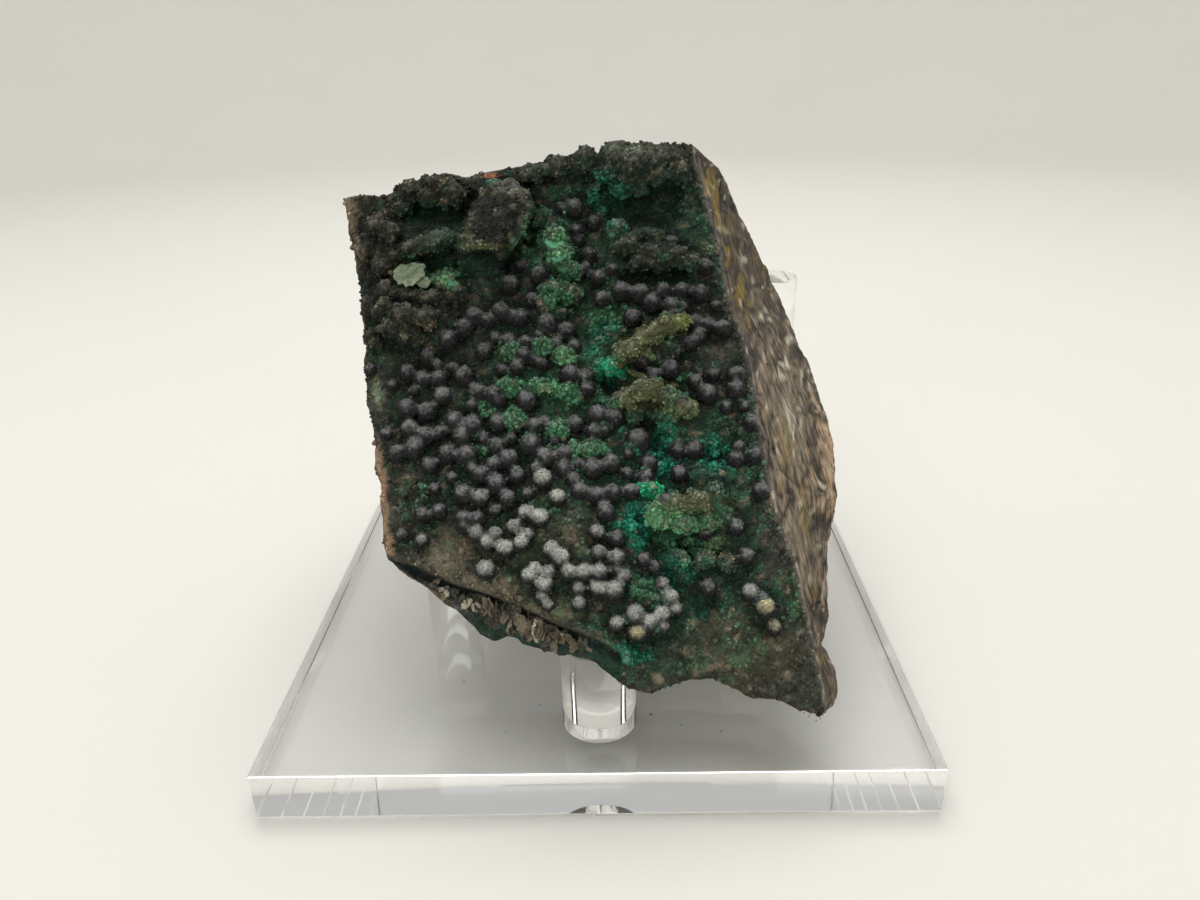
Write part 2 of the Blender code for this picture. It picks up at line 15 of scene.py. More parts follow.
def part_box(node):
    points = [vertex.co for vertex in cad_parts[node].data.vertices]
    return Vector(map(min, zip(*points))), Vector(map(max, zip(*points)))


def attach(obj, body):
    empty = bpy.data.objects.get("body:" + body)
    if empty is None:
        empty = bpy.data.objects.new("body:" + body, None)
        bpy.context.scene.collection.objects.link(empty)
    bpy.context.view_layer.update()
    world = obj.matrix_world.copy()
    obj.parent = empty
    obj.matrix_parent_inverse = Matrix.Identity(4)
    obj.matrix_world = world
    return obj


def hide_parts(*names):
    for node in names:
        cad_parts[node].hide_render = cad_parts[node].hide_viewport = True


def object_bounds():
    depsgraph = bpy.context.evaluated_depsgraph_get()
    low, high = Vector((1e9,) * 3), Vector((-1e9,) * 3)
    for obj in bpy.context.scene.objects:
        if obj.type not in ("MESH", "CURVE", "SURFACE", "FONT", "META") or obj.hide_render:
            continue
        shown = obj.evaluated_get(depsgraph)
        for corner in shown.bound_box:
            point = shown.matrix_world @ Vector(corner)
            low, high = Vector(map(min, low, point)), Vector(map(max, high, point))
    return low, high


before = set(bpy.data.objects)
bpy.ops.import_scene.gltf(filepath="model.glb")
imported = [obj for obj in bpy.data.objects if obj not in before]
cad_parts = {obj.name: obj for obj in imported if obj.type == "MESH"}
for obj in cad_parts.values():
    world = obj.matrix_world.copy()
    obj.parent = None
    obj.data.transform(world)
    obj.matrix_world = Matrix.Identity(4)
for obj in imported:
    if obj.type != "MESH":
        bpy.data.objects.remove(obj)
CAD_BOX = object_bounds()

MM = 0.001
LOG = logging.getLogger("specimen")

Row = tuple[float, ...]
Path = tuple[tuple[float, float], ...]
Pegs = dict[str, tuple[float, float, float, float]]
Array = np.ndarray
Geometry = bmesh.types.BMesh
Piece = bpy.types.Object
Socket = bpy.types.NodeSocket

# Outline of the block over its face, (across, up the face) in millimetres
TOP_EDGE: Path = (
    (-38, 73.5), (-35, 74), (-32, 73.5), (-28, 75), (-25.5, 76.5), (-22, 77), (-19, 76), (-17, 76.8),
    (-13, 77.3), (-10, 78), (-7, 78.8), (-3, 79.5), (-0.5, 80.5), (1.5, 79.8), (3.5, 81), (9, 81),
    (10, 80.2), (12, 80.8), (15, 81.4), (16.5, 80.9),
)
RIGHT_EDGE: Path = (
    (32, -5.2), (34, -4), (34.7, -2), (34.5, 0.5), (33.5, 3), (32.5, 4.5), (33.3, 6), (33.8, 9), (34, 14),
    (34.3, 19), (35, 22), (35.9, 26), (35.8, 33), (35, 38), (34, 41), (32.5, 46), (31, 50), (30, 53),
    (28.5, 57), (27, 60.5), (25, 65.5), (23, 70), (21.3, 75), (20, 77.5), (16.5, 80.9),
)
BOTTOM_EDGE: Path = (
    (-30, 17.5), (-28, 16), (-25, 14), (-22, 11.8), (-20, 10.3), (-17.5, 8), (-16, 6.3), (-14, 5.5),
    (-12.5, 6.2), (-11, 6), (-10, 5), (-7, 4.3), (-5, 3.5), (-2, 3.2), (0, 2.2), (3, 0), (5, -1.2),
    (8, -1.8), (11, -1), (14, 0), (17, 0), (20, -1.2), (22.5, -2.7), (26, -3), (29, -4.3), (32, -5.2),
)
LEFT_EDGE: Path = (
    (-30, 17.5), (-30.5, 20), (-31, 25), (-31.2, 29), (-32, 31), (-32.2, 35), (-32.7, 38), (-33.5, 41),
    (-34, 47), (-33.7, 51), (-34.7, 56), (-35, 59), (-36, 64), (-37, 69), (-38, 73.5),
)

# Arris between the face and the right side, and arris above the fractured lower left edge
RIGHT_ARRIS: Path = (
    (33, -6), (32, 0), (31.5, 4), (30.5, 9), (29.5, 13), (29, 17), (27.5, 21), (26.2, 25.5), (25.8, 30),
    (25.3, 33), (24.5, 38), (24, 43), (23.8, 46), (22.5, 51), (21.3, 55), (20.5, 58), (20, 63), (19, 68),
    (18, 72), (17, 76), (16, 82),
)
LOWER_ARRIS: Path = (
    (-40, 22), (-29, 18), (-25, 16.5), (-20, 14.2), (-15, 12.5), (-10, 10.5), (-5, 8), (0, 6.3), (4, 4),
)

# Planes that end the block behind: a place on each in millimetres, and its outward direction
BACK_PLANES: tuple[tuple[Row, Row], ...] = (
    ((0, -2, 89.6), (0, 0.662, 0.75)),
    ((0, 22.25, 60.6), (0, 0.512, -0.859)),
    ((-32, 0, 37.8), (-0.986, 0, -0.165)),
    ((-33, 6, 75), (-0.6, 0.5, 0.62)),
    ((26, 12, 77), (0.55, 0.58, 0.60)),
)

# Ridges (height > 0) and hollows (height < 0) of the face: start, end, half width, height
RELIEF: tuple[Row, ...] = (
    (-4, 8, -4, 18, 20, 3.0), (-31, 66, -33, 74, 5, 1.6), (-30, 64, -24, 65.5, 2.0, 2.2),
    (-24, 65.5, -17, 67.5, 2.0, 2.4), (-28, 71, -20, 70.5, 2.6, -2.4), (-24, 62.5, -19, 62, 3.0, -1.8),
    (-28, 54, -24, 53, 5.5, 2.2), (-33, 57, -30, 54, 3.0, 1.2), (-11, 62, -8, 68, 3.2, -2.6),
    (-1, 52, 1, 74, 4.5, -1.4), (3, 78.5, 15, 78, 4.5, 2.4), (5, 70.5, 13, 71, 4.0, -3.0),
    (6, 59.6, 14, 59.8, 1.9, -2.4), (-8, 78, -2, 78, 3.0, 1.4), (-17, 72.6, -10, 75, 2.5, -1.0),
    (7, 37.5, 10, 34.5, 2.4, -2.8), (2.2, 44.2, 4.6, 41.8, 2.2, -2.6), (11, 33, 19, 32, 3.2, -1.6),
    (10.5, 19.8, 17, 18.8, 2.6, -3.0), (7, 22, 9, 18, 2.2, -1.2), (12, 13, 16, 10, 4.0, -1.4),
    (1, 15, 9, 9, 6, 1.4), (24, 12, 27, 5, 4.5, 1.0), (-1, 5, 4, 2.4, 3.6, 2.6),
    (5.4, 47.6, 13.8, 53, 1.9, 1.8), (3.6, 40.4, 9, 43, 2.0, 1.8), (9, 43, 14.6, 39.4, 1.8, 1.6),
    (11.6, 24.6, 18.6, 25.4, 2.2, 1.8), (8.4, 24.4, 10.4, 22.4, 1.8, 1.0),
    (-30, 53.4, -22, 56.6, 2.2, 0.9),
)

# Knobs of the face: centre across, centre up, half sizes across, up and out, turn in degrees
KNOBS: tuple[Row, ...] = (
    (4.6, 79.6, 3.0, 2.0, 2.6, 10), (8.6, 79.4, 2.6, 1.9, 2.8, 0), (12.6, 79.2, 2.4, 2.0, 2.4, -15),
    (3.6, 76.6, 1.9, 1.6, 2.2, 0), (6.8, 76.8, 2.4, 1.9, 3.0, 25), (10.4, 76.6, 2.2, 1.7, 2.6, 0),
    (13.8, 76.8, 2.0, 1.5, 2.2, 0), (5.6, 74.4, 1.6, 1.2, 2.0, 30), (8.2, 74.6, 1.5, 1.3, 2.0, 0),
    (-0.4, 79.0, 1.9, 1.7, 2.0, 0), (-5.2, 77.9, 2.6, 1.4, 1.8, 10), (-8.8, 76.8, 2.2, 1.3, 1.7, 0),
    (-12.4, 76.3, 1.6, 1.1, 1.4, 0), (-16.8, 75.6, 1.5, 1.0, 1.3, 0), (-23.6, 75.4, 3.0, 1.5, 2.2, 5),
    (-27.8, 74.2, 2.2, 1.4, 2.0, 20), (-20.4, 74.0, 1.8, 1.4, 2.0, -20), (-24.6, 73.0, 1.8, 1.1, 1.6, 0),
    (-21.4, 72.6, 1.7, 1.1, 1.6, 0), (-29.4, 71.6, 1.8, 1.3, 1.7, 0), (-32.6, 69.0, 1.7, 1.5, 1.5, 0),
    (-34.6, 65.6, 1.6, 1.7, 1.4, 0), (-30.6, 67.6, 1.6, 1.2, 1.4, 0), (-26.8, 65.4, 2.4, 1.2, 1.7, 12),
    (-22.6, 66.6, 2.4, 1.1, 1.8, 18), (-31.8, 62.6, 1.5, 1.7, 1.5, 0), (-31.0, 58.2, 1.6, 1.4, 1.7, 0),
    (-28.0, 57.6, 1.6, 1.1, 1.6, 0), (-24.5, 57.0, 1.7, 1.3, 2.0, 0), (-20.4, 57.6, 1.7, 1.2, 1.7, 0),
    (-22.4, 59.0, 1.6, 0.9, 1.3, 0), (-31.6, 55.4, 1.7, 1.5, 1.8, 0), (-28.4, 54.6, 1.9, 1.5, 2.2, 0),
    (-25.0, 54.0, 1.8, 1.5, 2.2, 0), (-30.4, 52.4, 1.8, 1.4, 1.9, 0), (-27.4, 51.4, 1.8, 1.4, 2.0, 0),
    (-33.0, 51.0, 1.4, 1.5, 1.3, 0), (4.4, 67.2, 1.4, 1.5, 1.8, 0), (7.6, 66.4, 2.6, 1.0, 1.8, 8),
    (10.6, 65.9, 1.8, 1.1, 1.9, -12), (5.6, 64.6, 2.5, 0.9, 1.8, 6), (9.6, 63.8, 2.6, 1.2, 2.2, 0),
    (13.0, 63.2, 2.4, 1.2, 2.2, -10), (7.6, 61.9, 1.6, 1.0, 1.8, 30), (10.6, 61.7, 1.5, 1.0, 1.8, -25),
    (15.2, 62.2, 1.6, 1.2, 1.6, 0), (12.4, 52.6, 3.0, 1.2, 2.0, 14), (8.8, 50.6, 2.8, 1.1, 1.9, 26),
    (5.6, 48.4, 2.4, 1.1, 1.9, 38), (3.4, 46.0, 1.5, 0.9, 1.6, 0), (8.6, 47.6, 1.9, 1.1, 1.7, -20),
    (12.2, 48.4, 1.5, 1.1, 1.5, 0), (8.2, 42.4, 2.0, 1.5, 2.4, 0), (5.0, 41.0, 2.4, 1.0, 1.8, 22),
    (11.4, 41.2, 2.4, 1.1, 2.0, -22), (14.4, 39.4, 1.9, 1.1, 1.8, -30), (6.2, 38.4, 1.1, 1.8, 1.6, 12),
    (11.8, 38.6, 1.5, 0.9, 1.5, 0), (8.6, 27.2, 1.6, 1.0, 1.6, 0), (9.8, 23.6, 2.1, 2.1, 1.2, 0),
    (12.4, 25.0, 1.9, 1.3, 2.2, 0), (15.6, 25.6, 1.8, 1.5, 2.0, 0), (18.2, 26.8, 1.4, 1.2, 1.6, 0),
    (13.4, 22.2, 2.0, 1.1, 2.4, -8), (16.6, 22.6, 1.9, 1.3, 2.3, -10), (19.2, 22.8, 1.4, 1.6, 1.7, 0),
    (18.0, 19.4, 1.4, 1.5, 1.6, 0), (11.2, 19.6, 1.6, 1.4, 1.9, 20), (14.6, 19.4, 2.0, 1.2, 2.1, -12),
    (16.6, 16.8, 1.7, 1.2, 1.9, 0), (12.8, 17.0, 1.5, 1.0, 1.6, 0), (19.6, 16.4, 1.2, 1.3, 1.5, 0),
    (-6.8, 69.2, 1.7, 1.2, 1.6, -35), (-5.0, 66.4, 1.8, 1.4, 1.8, -40), (-4.4, 63.4, 1.6, 1.4, 1.7, 0),
    (-2.6, 61.0, 1.2, 1.1, 1.4, 0), (-5.2, 58.0, 1.9, 1.2, 1.7, 0), (-2.6, 57.4, 1.3, 1.1, 1.4, 0),
    (-6.4, 55.8, 1.2, 1.0, 1.3, 0), (-12.2, 48.6, 1.5, 1.1, 1.5, 0), (-7.2, 49.0, 1.5, 1.0, 1.4, 0),
    (-3.6, 47.6, 1.6, 1.1, 1.5, 0), (-12.0, 43.2, 1.7, 1.1, 1.5, 0), (-8.0, 42.6, 2.2, 1.0, 1.4, 0),
    (-3.4, 42.0, 1.6, 1.0, 1.4, 0), (-11.4, 37.8, 1.5, 1.2, 1.4, 0), (-4.8, 36.6, 1.6, 1.2, 1.5, 0),
    (-27.5, 60.8, 2.6, 1.9, 1.0, 8), (-22.4, 60.2, 1.6, 1.1, 1.1, 0), (-0.6, 33.4, 3.2, 1.0, 1.4, 0),
)

# Balls of the crust: centre across, centre up, width
BALLS: tuple[Row, ...] = (
    (-2.2, 71, 3.0), (0.8, 68.6, 2.4), (0, 63.5, 2.5), (1.5, 59.8, 2.6), (-0.5, 61.2, 2.3),
    (-7.7, 60.5, 2.7), (-12, 59, 2.8), (-8.7, 56.5, 2.4), (2, 56.4, 2.6), (5, 57.6, 3.0),
    (7.8, 57.2, 3.0), (11.3, 57.5, 2.6), (14.2, 57.5, 2.6), (17, 57, 2.6), (9.5, 55.5, 3.0),
    (12.5, 55, 2.8), (6.5, 53.4, 2.8), (16, 52.5, 2.4), (20.2, 51.5, 2.6), (16.5, 50.3, 2.4),
    (17.8, 61.3, 2.5), (-17.5, 54, 3.0), (-19, 52.2, 2.8), (-21.5, 50.5, 2.8), (-13.5, 54.8, 2.8),
    (-10.5, 53.7, 2.6), (-6.5, 52.5, 3.3), (-3.5, 51.5, 2.8), (-16, 48.6, 2.5), (-10, 47.8, 2.4),
    (-24.5, 47.8, 2.5), (-27.5, 45.5, 2.7), (-25.2, 44.4, 2.6), (-22.8, 44.4, 2.6), (-19, 44.8, 3.0),
    (-22.2, 41.8, 2.8), (-17.0, 42.3, 2.8), (-14.6, 42, 2.6), (-9.5, 40.8, 3.2), (-27.5, 40, 3.0),
    (-24.5, 39.5, 2.8), (-3, 44.8, 3.0), (-0.7, 44.2, 2.6), (-27, 36.8, 3.0), (-24.6, 35.9, 2.8),
    (-20.4, 37.8, 3.2), (-17.6, 37.2, 3.2), (-19.2, 35.6, 3.0), (-14, 37.5, 2.6), (-28.8, 33.2, 2.6),
    (-26.4, 33.8, 3.0), (-24, 31.3, 2.5), (-21.4, 33, 2.9), (-18.5, 32.6, 3.1), (-14, 34, 2.6),
    (-14.5, 31.2, 2.5), (-12.2, 32, 3.0), (-9, 34.2, 3.2), (-6.8, 32.2, 3.0), (-4, 32.5, 3.0),
    (-16.5, 29.8, 2.5), (-11, 29.6, 2.6), (-14, 28.3, 3.0), (-19, 27, 3.0), (-16.4, 26.3, 2.7),
    (-12.3, 26.2, 2.6), (-22.5, 24.5, 2.4), (-18.9, 23.4, 2.4), (-16.8, 23.3, 2.4), (-17, 21, 2.4),
    (1, 38.5, 3.0), (3.5, 38, 3.0), (-2.3, 37.2, 2.6), (0.6, 36, 2.6), (-8.5, 37, 2.5), (0.3, 30.5, 3.0),
    (3, 31.2, 2.8), (-4, 30.4, 2.5), (-7.2, 29, 3.0), (-1.6, 27.2, 2.6), (0.6, 26.5, 2.6), (3, 26.8, 2.7),
    (5.8, 27, 2.5), (2, 24, 2.6), (-5, 26.2, 2.5), (22, 44.2, 2.8), (21.8, 42, 3.0), (17.5, 41.5, 3.0),
    (12, 45.3, 3.0), (24, 37, 2.5), (24.3, 32, 2.5), (21.4, 31.6, 2.5), (25.0, 26.8, 2.5),
    (12.9, 33, 2.7), (15.3, 33, 2.7), (7, 34.5, 3.6), (8.5, 31, 2.6), (13, 29.5, 2.5), (8, 28.9, 2.4),
    (21, 21.5, 2.5), (22.5, 17.2, 2.5), (-7.6, 23.2, 2.8), (-9.8, 24, 2.4), (-12.7, 18.8, 2.7),
    (-10.4, 19.6, 2.4), (-15.3, 19.6, 2.2), (-11.5, 22, 2.3), (-14.2, 21, 2.2), (-6, 18.6, 2.5),
    (-4.6, 17.4, 2.6), (-15.6, 15.8, 2.8), (-9.2, 14.8, 2.5), (-7, 13.4, 2.6), (-6.3, 15.3, 2.2),
    (-3.4, 15.2, 2.4), (-1.2, 15.2, 2.4), (1, 15.2, 2.4), (0.8, 13, 2.6), (3, 12.5, 3.0),
    (4.5, 14.6, 2.4), (1, 18, 2.4), (3.5, 17.2, 2.6), (3.5, 20, 2.6), (0.8, 21, 2.2), (6.1, 9, 3.0),
    (8.1, 7.8, 2.5), (10, 9, 2.4), (6.3, 6.5, 2.6), (11.4, 11.4, 2.4), (16.5, 21, 2.5), (16.7, 12.8, 2.6),
    (22.8, 12, 2.6), (24.9, 9.8, 2.8), (26, 7, 2.2), (-4.2, 71.2, 1.8), (-1.8, 67.5, 2.0),
    (-1.5, 66, 2.0), (3.5, 61, 2.0), (-10.2, 61.8, 2.0), (18, 52.2, 2.2), (15, 49.2, 2.3),
    (13, 65.3, 2.0), (-15.4, 53.4, 2.4), (-12, 53.9, 2.3), (-14.3, 50.6, 2.0), (-12.2, 50.2, 2.2),
    (-9.8, 50, 2.0), (-7.4, 50.9, 2.1), (-5, 49.6, 2.0), (-2.4, 49, 2.2), (-8.4, 47.2, 2.0),
    (-7, 46.4, 1.9), (-11, 46, 2.3), (-13.2, 45.6, 1.8), (-13.8, 41, 2.2), (-33.2, 46, 2.0),
    (-17.8, 40.2, 2.0), (-0.5, 42.5, 2.4), (-17.8, 31, 2.2), (-17.5, 26.8, 2.2), (-25, 24, 2.2),
    (-18.8, 22.2, 2.0), (-28, 21, 2.0), (-25, 20.3, 2.0), (1.9, 36, 2.0), (-6.8, 37.5, 2.0),
    (-8, 30.6, 2.2), (-2.5, 28.8, 2.2), (20.3, 39.3, 2.0), (15.8, 43.2, 2.2), (9.5, 44.5, 2.3),
    (7.8, 46.5, 2.2), (11.5, 47.5, 2.2), (22, 33.3, 2.0), (11, 25.5, 2.2), (-9.5, 20.8, 2.0),
    (-8.4, 15.9, 2.0), (-7.3, 11.9, 2.0), (-2, 12.8, 2.0), (-2, 10.7, 2.2), (3.5, 15.6, 2.2),
    (-6.5, 10.6, 1.8), (3.4, 7.8, 2.2), (10, 7.3, 2.0), (10.2, 13.4, 2.0), (12, 9.8, 2.0), (7.5, 17, 2.0),
    (9, 15.8, 2.0), (24.4, 11.4, 1.8), (-23, 46.6, 1.8), (-20.8, 46.2, 1.7), (-26.6, 42.6, 1.8),
    (-29.8, 43.6, 1.7), (-30.6, 36.2, 1.8), (-22.6, 36.2, 2.2), (-16, 35.2, 2.0), (-11.8, 35.2, 2.0),
    (-5.4, 34.6, 1.9), (-1.8, 31.2, 1.9), (5.4, 29.6, 1.9), (5.6, 32.6, 1.8), (-20.6, 29.4, 1.9),
    (-23.2, 27.8, 1.8), (-9.4, 26.8, 1.9), (-14.2, 24.4, 1.9), (19.2, 55, 1.8), (14.2, 54.9, 2.0),
    (18.6, 44.3, 1.8), (23, 39.4, 1.8),
)

# Balls with frosted tips: centre across, centre up, how pale from 0 to 1
FROSTED: tuple[Row, ...] = (
    (-7.2, 29, 0.9), (-5, 26.2, 1.0), (-7.6, 23.2, 1.0), (-9.8, 24, 0.75), (-12.7, 18.8, 0.95),
    (-10.4, 19.6, 0.9), (-15.3, 19.6, 0.7), (-11.5, 22, 0.5), (-14.2, 21, 0.55), (-9.5, 20.8, 0.6),
    (-6, 18.6, 0.75), (-4.6, 17.4, 0.9), (-15.6, 15.8, 0.75), (-9.2, 14.8, 0.95), (-7, 13.4, 0.85),
    (-6.3, 15.3, 0.6), (-8.4, 15.9, 0.9), (-3.4, 15.2, 0.75), (-1.2, 15.2, 0.6), (1, 15.2, 0.5),
    (0.8, 13, 0.9), (3, 12.5, 0.5), (-2, 12.8, 0.5), (-2, 10.7, 0.5), (1, 18, 0.35), (3.5, 17.2, 0.4),
    (0.8, 21, 0.5), (6.1, 9, 0.55), (8.1, 7.8, 0.8), (10, 9, 0.9), (6.3, 6.5, 0.9), (11.4, 11.4, 0.8),
    (10.2, 13.4, 0.7), (3.4, 7.8, 0.8), (10, 7.3, 0.6), (12, 9.8, 0.5), (24.9, 9.8, 0.95),
    (22.8, 12, 0.6), (26, 7, 0.5), (16.5, 21, 0.6), (-24.5, 57, 1.0), (-17, 21, 0.35), (-16.4, 26.3, 0.3),
    (-27, 36.8, 0.25), (-22.2, 41.8, 0.3), (-25, 20.3, 0.4), (-7.3, 11.9, 0.7), (-6.5, 10.6, 0.5),
    (4.5, 14.6, 0.35),
)

# Clusters of small beads: middle across, middle up, half sizes, how many, widest bead
CLUSTERS: tuple[Row, ...] = (
    (-7.4, 70.2, 2.2, 1.6, 14, 1.5), (-5.6, 67.2, 2.4, 2.2, 22, 1.4), (-4.2, 63.6, 1.8, 2.2, 20, 1.3),
    (-10, 66, 1.5, 3.4, 18, 1.3), (-22.2, 60, 3.2, 1.7, 26, 1.2), (-19.6, 61.6, 1.6, 1.6, 10, 1.1),
    (-5, 58.2, 2.4, 1.8, 20, 1.4), (-2.4, 57.2, 1.6, 1.5, 10, 1.3), (-4, 54.6, 1.8, 1.0, 9, 1.2),
    (-12, 48.6, 2.0, 1.3, 16, 1.2), (-7, 49, 1.8, 1.2, 13, 1.2), (-3.5, 47.5, 2.0, 1.4, 16, 1.2),
    (-12.3, 43, 2.2, 1.4, 18, 1.3), (-7.5, 42.7, 2.8, 1.4, 24, 1.2), (-3, 41.8, 2.0, 1.3, 16, 1.3),
    (-11.5, 38, 2.0, 1.5, 15, 1.2), (-4.6, 36.6, 2.4, 1.5, 18, 1.3), (0, 33.4, 3.2, 1.2, 20, 1.2),
    (3, 45.4, 2.2, 1.8, 16, 1.3), (8.4, 27.4, 2.2, 1.3, 16, 1.2), (12.6, 52.6, 3.0, 1.4, 18, 1.2),
    (11, 33, 2.2, 3.6, 18, 1.0), (18.4, 32.4, 2.4, 2.4, 14, 1.0), (6, 21.6, 2.2, 3.2, 14, 0.9),
    (4, 53.6, 3.6, 4.2, 26, 0.8), (1.6, 73.4, 2.0, 3.4, 12, 1.3), (14.6, 44.4, 3.0, 2.2, 16, 1.1),
    (-15.5, 39.8, 1.8, 1.2, 9, 1.1), (-16, 33.4, 1.6, 1.2, 8, 1.0), (-7, 25, 2.2, 1.6, 10, 1.0),
    (9.6, 50.8, 3.4, 1.4, 22, 1.3), (6.4, 48.2, 2.2, 1.6, 16, 1.2), (8.4, 42.2, 2.8, 1.8, 22, 1.4),
    (5.2, 40.6, 2.4, 1.4, 14, 1.2), (12.6, 40.6, 2.8, 1.2, 18, 1.2), (14.6, 25.4, 3.2, 1.6, 24, 1.4),
    (13.4, 22.4, 2.4, 1.4, 16, 1.3), (17.4, 23.2, 2.0, 2.0, 16, 1.2), (-25, 26.6, 4.0, 2.0, 14, 1.1),
    (8, 13, 3.4, 3.0, 14, 0.9), (20, 36, 2.4, 3.0, 12, 0.9),
)

# Lumps on the prism crystal: across, up, off the face, width
PRISM_LUMPS: tuple[Row, ...] = (
    (-10.0, 73.4, 3.2, 2.6), (-12.2, 75.0, 3.4, 2.8), (-14.6, 74.8, 3.0, 2.4), (-9.2, 71.4, 2.6, 2.4),
    (-10.2, 69.4, 3.2, 2.2), (-11.0, 67.6, 3.6, 2.2), (-12.0, 66.0, 4.2, 2.0), (-13.2, 72.6, 4.0, 2.2),
    (-15.8, 72.4, 3.6, 2.0), (-16.8, 70.4, 3.8, 2.0), (-18.0, 68.2, 4.0, 2.0), (-19.2, 66.2, 4.2, 2.0),
    (-14.4, 70.0, 4.2, 1.8), (-15.6, 67.4, 4.8, 1.9), (-17.4, 65.6, 4.9, 1.8), (-15.4, 65.4, 5.1, 1.7),
    (-13.4, 68.0, 4.6, 1.8), (-11.4, 71.4, 3.8, 2.0),
)

# Corners of the big stub of a prism crystal near the top left: across, up, off the face
PRISM: tuple[Row, ...] = (
    (-20.2, 65.3, 3.8), (-18.0, 64.9, 4.8), (-13.4, 65.6, 5.4), (-11.4, 66.6, 3.6), (-15.9, 74.8, 3.2),
    (-12.8, 75.3, 3.9), (-9.2, 73.6, 3.5), (-9.6, 72.0, 2.0), (-20.4, 66.0, -2.0), (-16.0, 75.0, -2.0),
    (-9.0, 74.0, -2.0), (-10.5, 66.0, -2.0), (-19.6, 60.4, -1.0), (-13.6, 60.2, -1.5),
)

# How far a ball's middle stands off the face and how much more low on it, in widths; growth of its width
BALL_LIFT = 0.22
LOW_BALL_LIFT = 0.14
BALL_GROWTH = 1.04

# Width of the crust's grains in millimetres
GRAIN = 0.85

# Balls whose frost is yellow, by their middles
YELLOW_BALLS: Path = ((6.3, 6.5), (24.9, 9.8), (26, 7))

# The camera's lens and sensor in millimetres, and its place and turn
LENS, SENSOR = 27.63, 36.0
CAMERA_FRAME: tuple[Row, ...] = (
    (0.99974647, 0.01627756, 0.01555723, 0.0034544), (0.00738385, 0.41571276, -0.90946599, -0.1524),
    (-0.02127123, 0.90935029, 0.41548718, 0.1057392), (0.0, 0.0, 0.0, 1.0),
)


class Tint(Enum):
    """Colours of the mineral, as linear red, green and blue."""

    DRUSE = (0.030, 0.034, 0.027)
    BALL = (0.011, 0.012, 0.012)
    # Painted highlight on the side of the balls toward the key light.
    BALL_PAINTED_HIGHLIGHT = (0.105, 0.107, 0.108)
    # Pale frost on the balls' tips, laid on the side toward the key light, so partly painted highlight.
    FROST = (0.24, 0.25, 0.225)
    YELLOW_FROST = (0.27, 0.25, 0.15)
    KNOB = (0.017, 0.018, 0.013)
    # Grey dust, also used as painted light on tops that face the key light.
    DUST_AND_PAINTED_LIGHT = (0.095, 0.094, 0.078)
    BLACK = (0.004, 0.009, 0.008)
    PINE = (0.016, 0.043, 0.027)
    GREEN = (0.032, 0.098, 0.048)
    LEAF = (0.080, 0.20, 0.095)
    TEAL = (0.006, 0.110, 0.070)
    EMERALD = (0.008, 0.17, 0.080)
    MINT = (0.12, 0.36, 0.22)
    SAGE = (0.21, 0.26, 0.17)
    OLIVE = (0.085, 0.092, 0.042)
    LIME = (0.17, 0.20, 0.070)
    TAN = (0.17, 0.14, 0.09)
    SIDE = (0.070, 0.058, 0.047)
    SIDE_LIGHT = (0.23, 0.19, 0.14)
    PALE_TAN = (0.42, 0.30, 0.20)
    OCHRE = (0.215, 0.150, 0.040)
    CREAM = (0.48, 0.45, 0.35)
    RUST = (0.26, 0.115, 0.055)
    MATRIX = (0.19, 0.125, 0.080)
    LILAC = (0.16, 0.15, 0.16)


@dataclass(frozen=True)
class Sight:
    """Coordinates on the leaning face: across it, up it and off it, sighted from one point in front."""

    foot: tuple[float, float, float] = (0.0, -46.0, 21.0)
    tilt: float = math.radians(57.0)
    u: float = 3.45
    v: float = 13.1
    n: float = 135.4

    @property
    def up_axis(self) -> Vector:
        """Direction up the face."""
        return Vector((0.0, math.cos(self.tilt), math.sin(self.tilt)))

    @property
    def out_axis(self) -> Vector:
        """Direction off the face."""
        return Vector((0.0, -math.sin(self.tilt), math.cos(self.tilt)))

    def point(self, u: float, v: float, n: float) -> Vector:
        """Finds a place on or off the face.

        Args:
            u: millimetres across the face plane.
            v: millimetres up the face plane.
            n: millimetres off the plane, along the line of sight over (u, v).

        Returns:
            The place in metres.
        """
        spread = (self.n - n) / self.n
        across = self.u + (u - self.u) * spread
        up = self.v + (v - self.v) * spread
        place = Vector(self.foot) + Vector((across, 0.0, 0.0)) + self.up_axis * up + self.out_axis * n
        return place * MM

    def coordinates(self, points: Array) -> Array:
        """Turns places in metres back into face coordinates.

        Args:
            points: one row of x, y, z for each place.

        Returns:
            One row of u, v, n in millimetres for each place.
        """
        away = points / MM - np.array(self.foot)
        n = away @ np.array(self.out_axis)
        spread = (self.n - n) / self.n
        u = self.u + (away[:, 0] - self.u) / spread
        v = self.v + (away @ np.array(self.up_axis) - self.v) / spread
        return np.stack([u, v, n], axis=1)


SIGHT = Sight()


def ramp(value: float, low: float, high: float) -> float:
    """0 at low, 1 at high, smooth between."""
    share = min(1.0, max(0.0, (value - low) / (high - low)))
    return share * share * (3 - 2 * share)


def ramps(values: Array, low: float, high: float) -> Array:
    """0 at low, 1 at high, smooth between, for a whole array."""
    share = np.clip((values - low) / (high - low), 0.0, 1.0)
    return share * share * (3 - 2 * share)


def along(points: Path, share: float) -> tuple[float, float]:
    """Finds the point at a share of a path's length.

    Args:
        points: the path.
        share: 0 at its start, 1 at its end.

    Returns:
        The point.
    """
    lengths = [math.dist(a, b) for a, b in zip(points, points[1:])]
    left = share * sum(lengths)
    for a, b, length in zip(points, points[1:], lengths):
        if left <= length:
            part = left / length
            return a[0] + (b[0] - a[0]) * part, a[1] + (b[1] - a[1]) * part
        left -= length
    return points[-1]


def across_at(path: Path, v: float | Array) -> float | Array:
    """Where a path that runs up the face stands at height v."""
    order = sorted(path, key=lambda point: point[1])
    return np.interp(v, [point[1] for point in order], [point[0] for point in order])


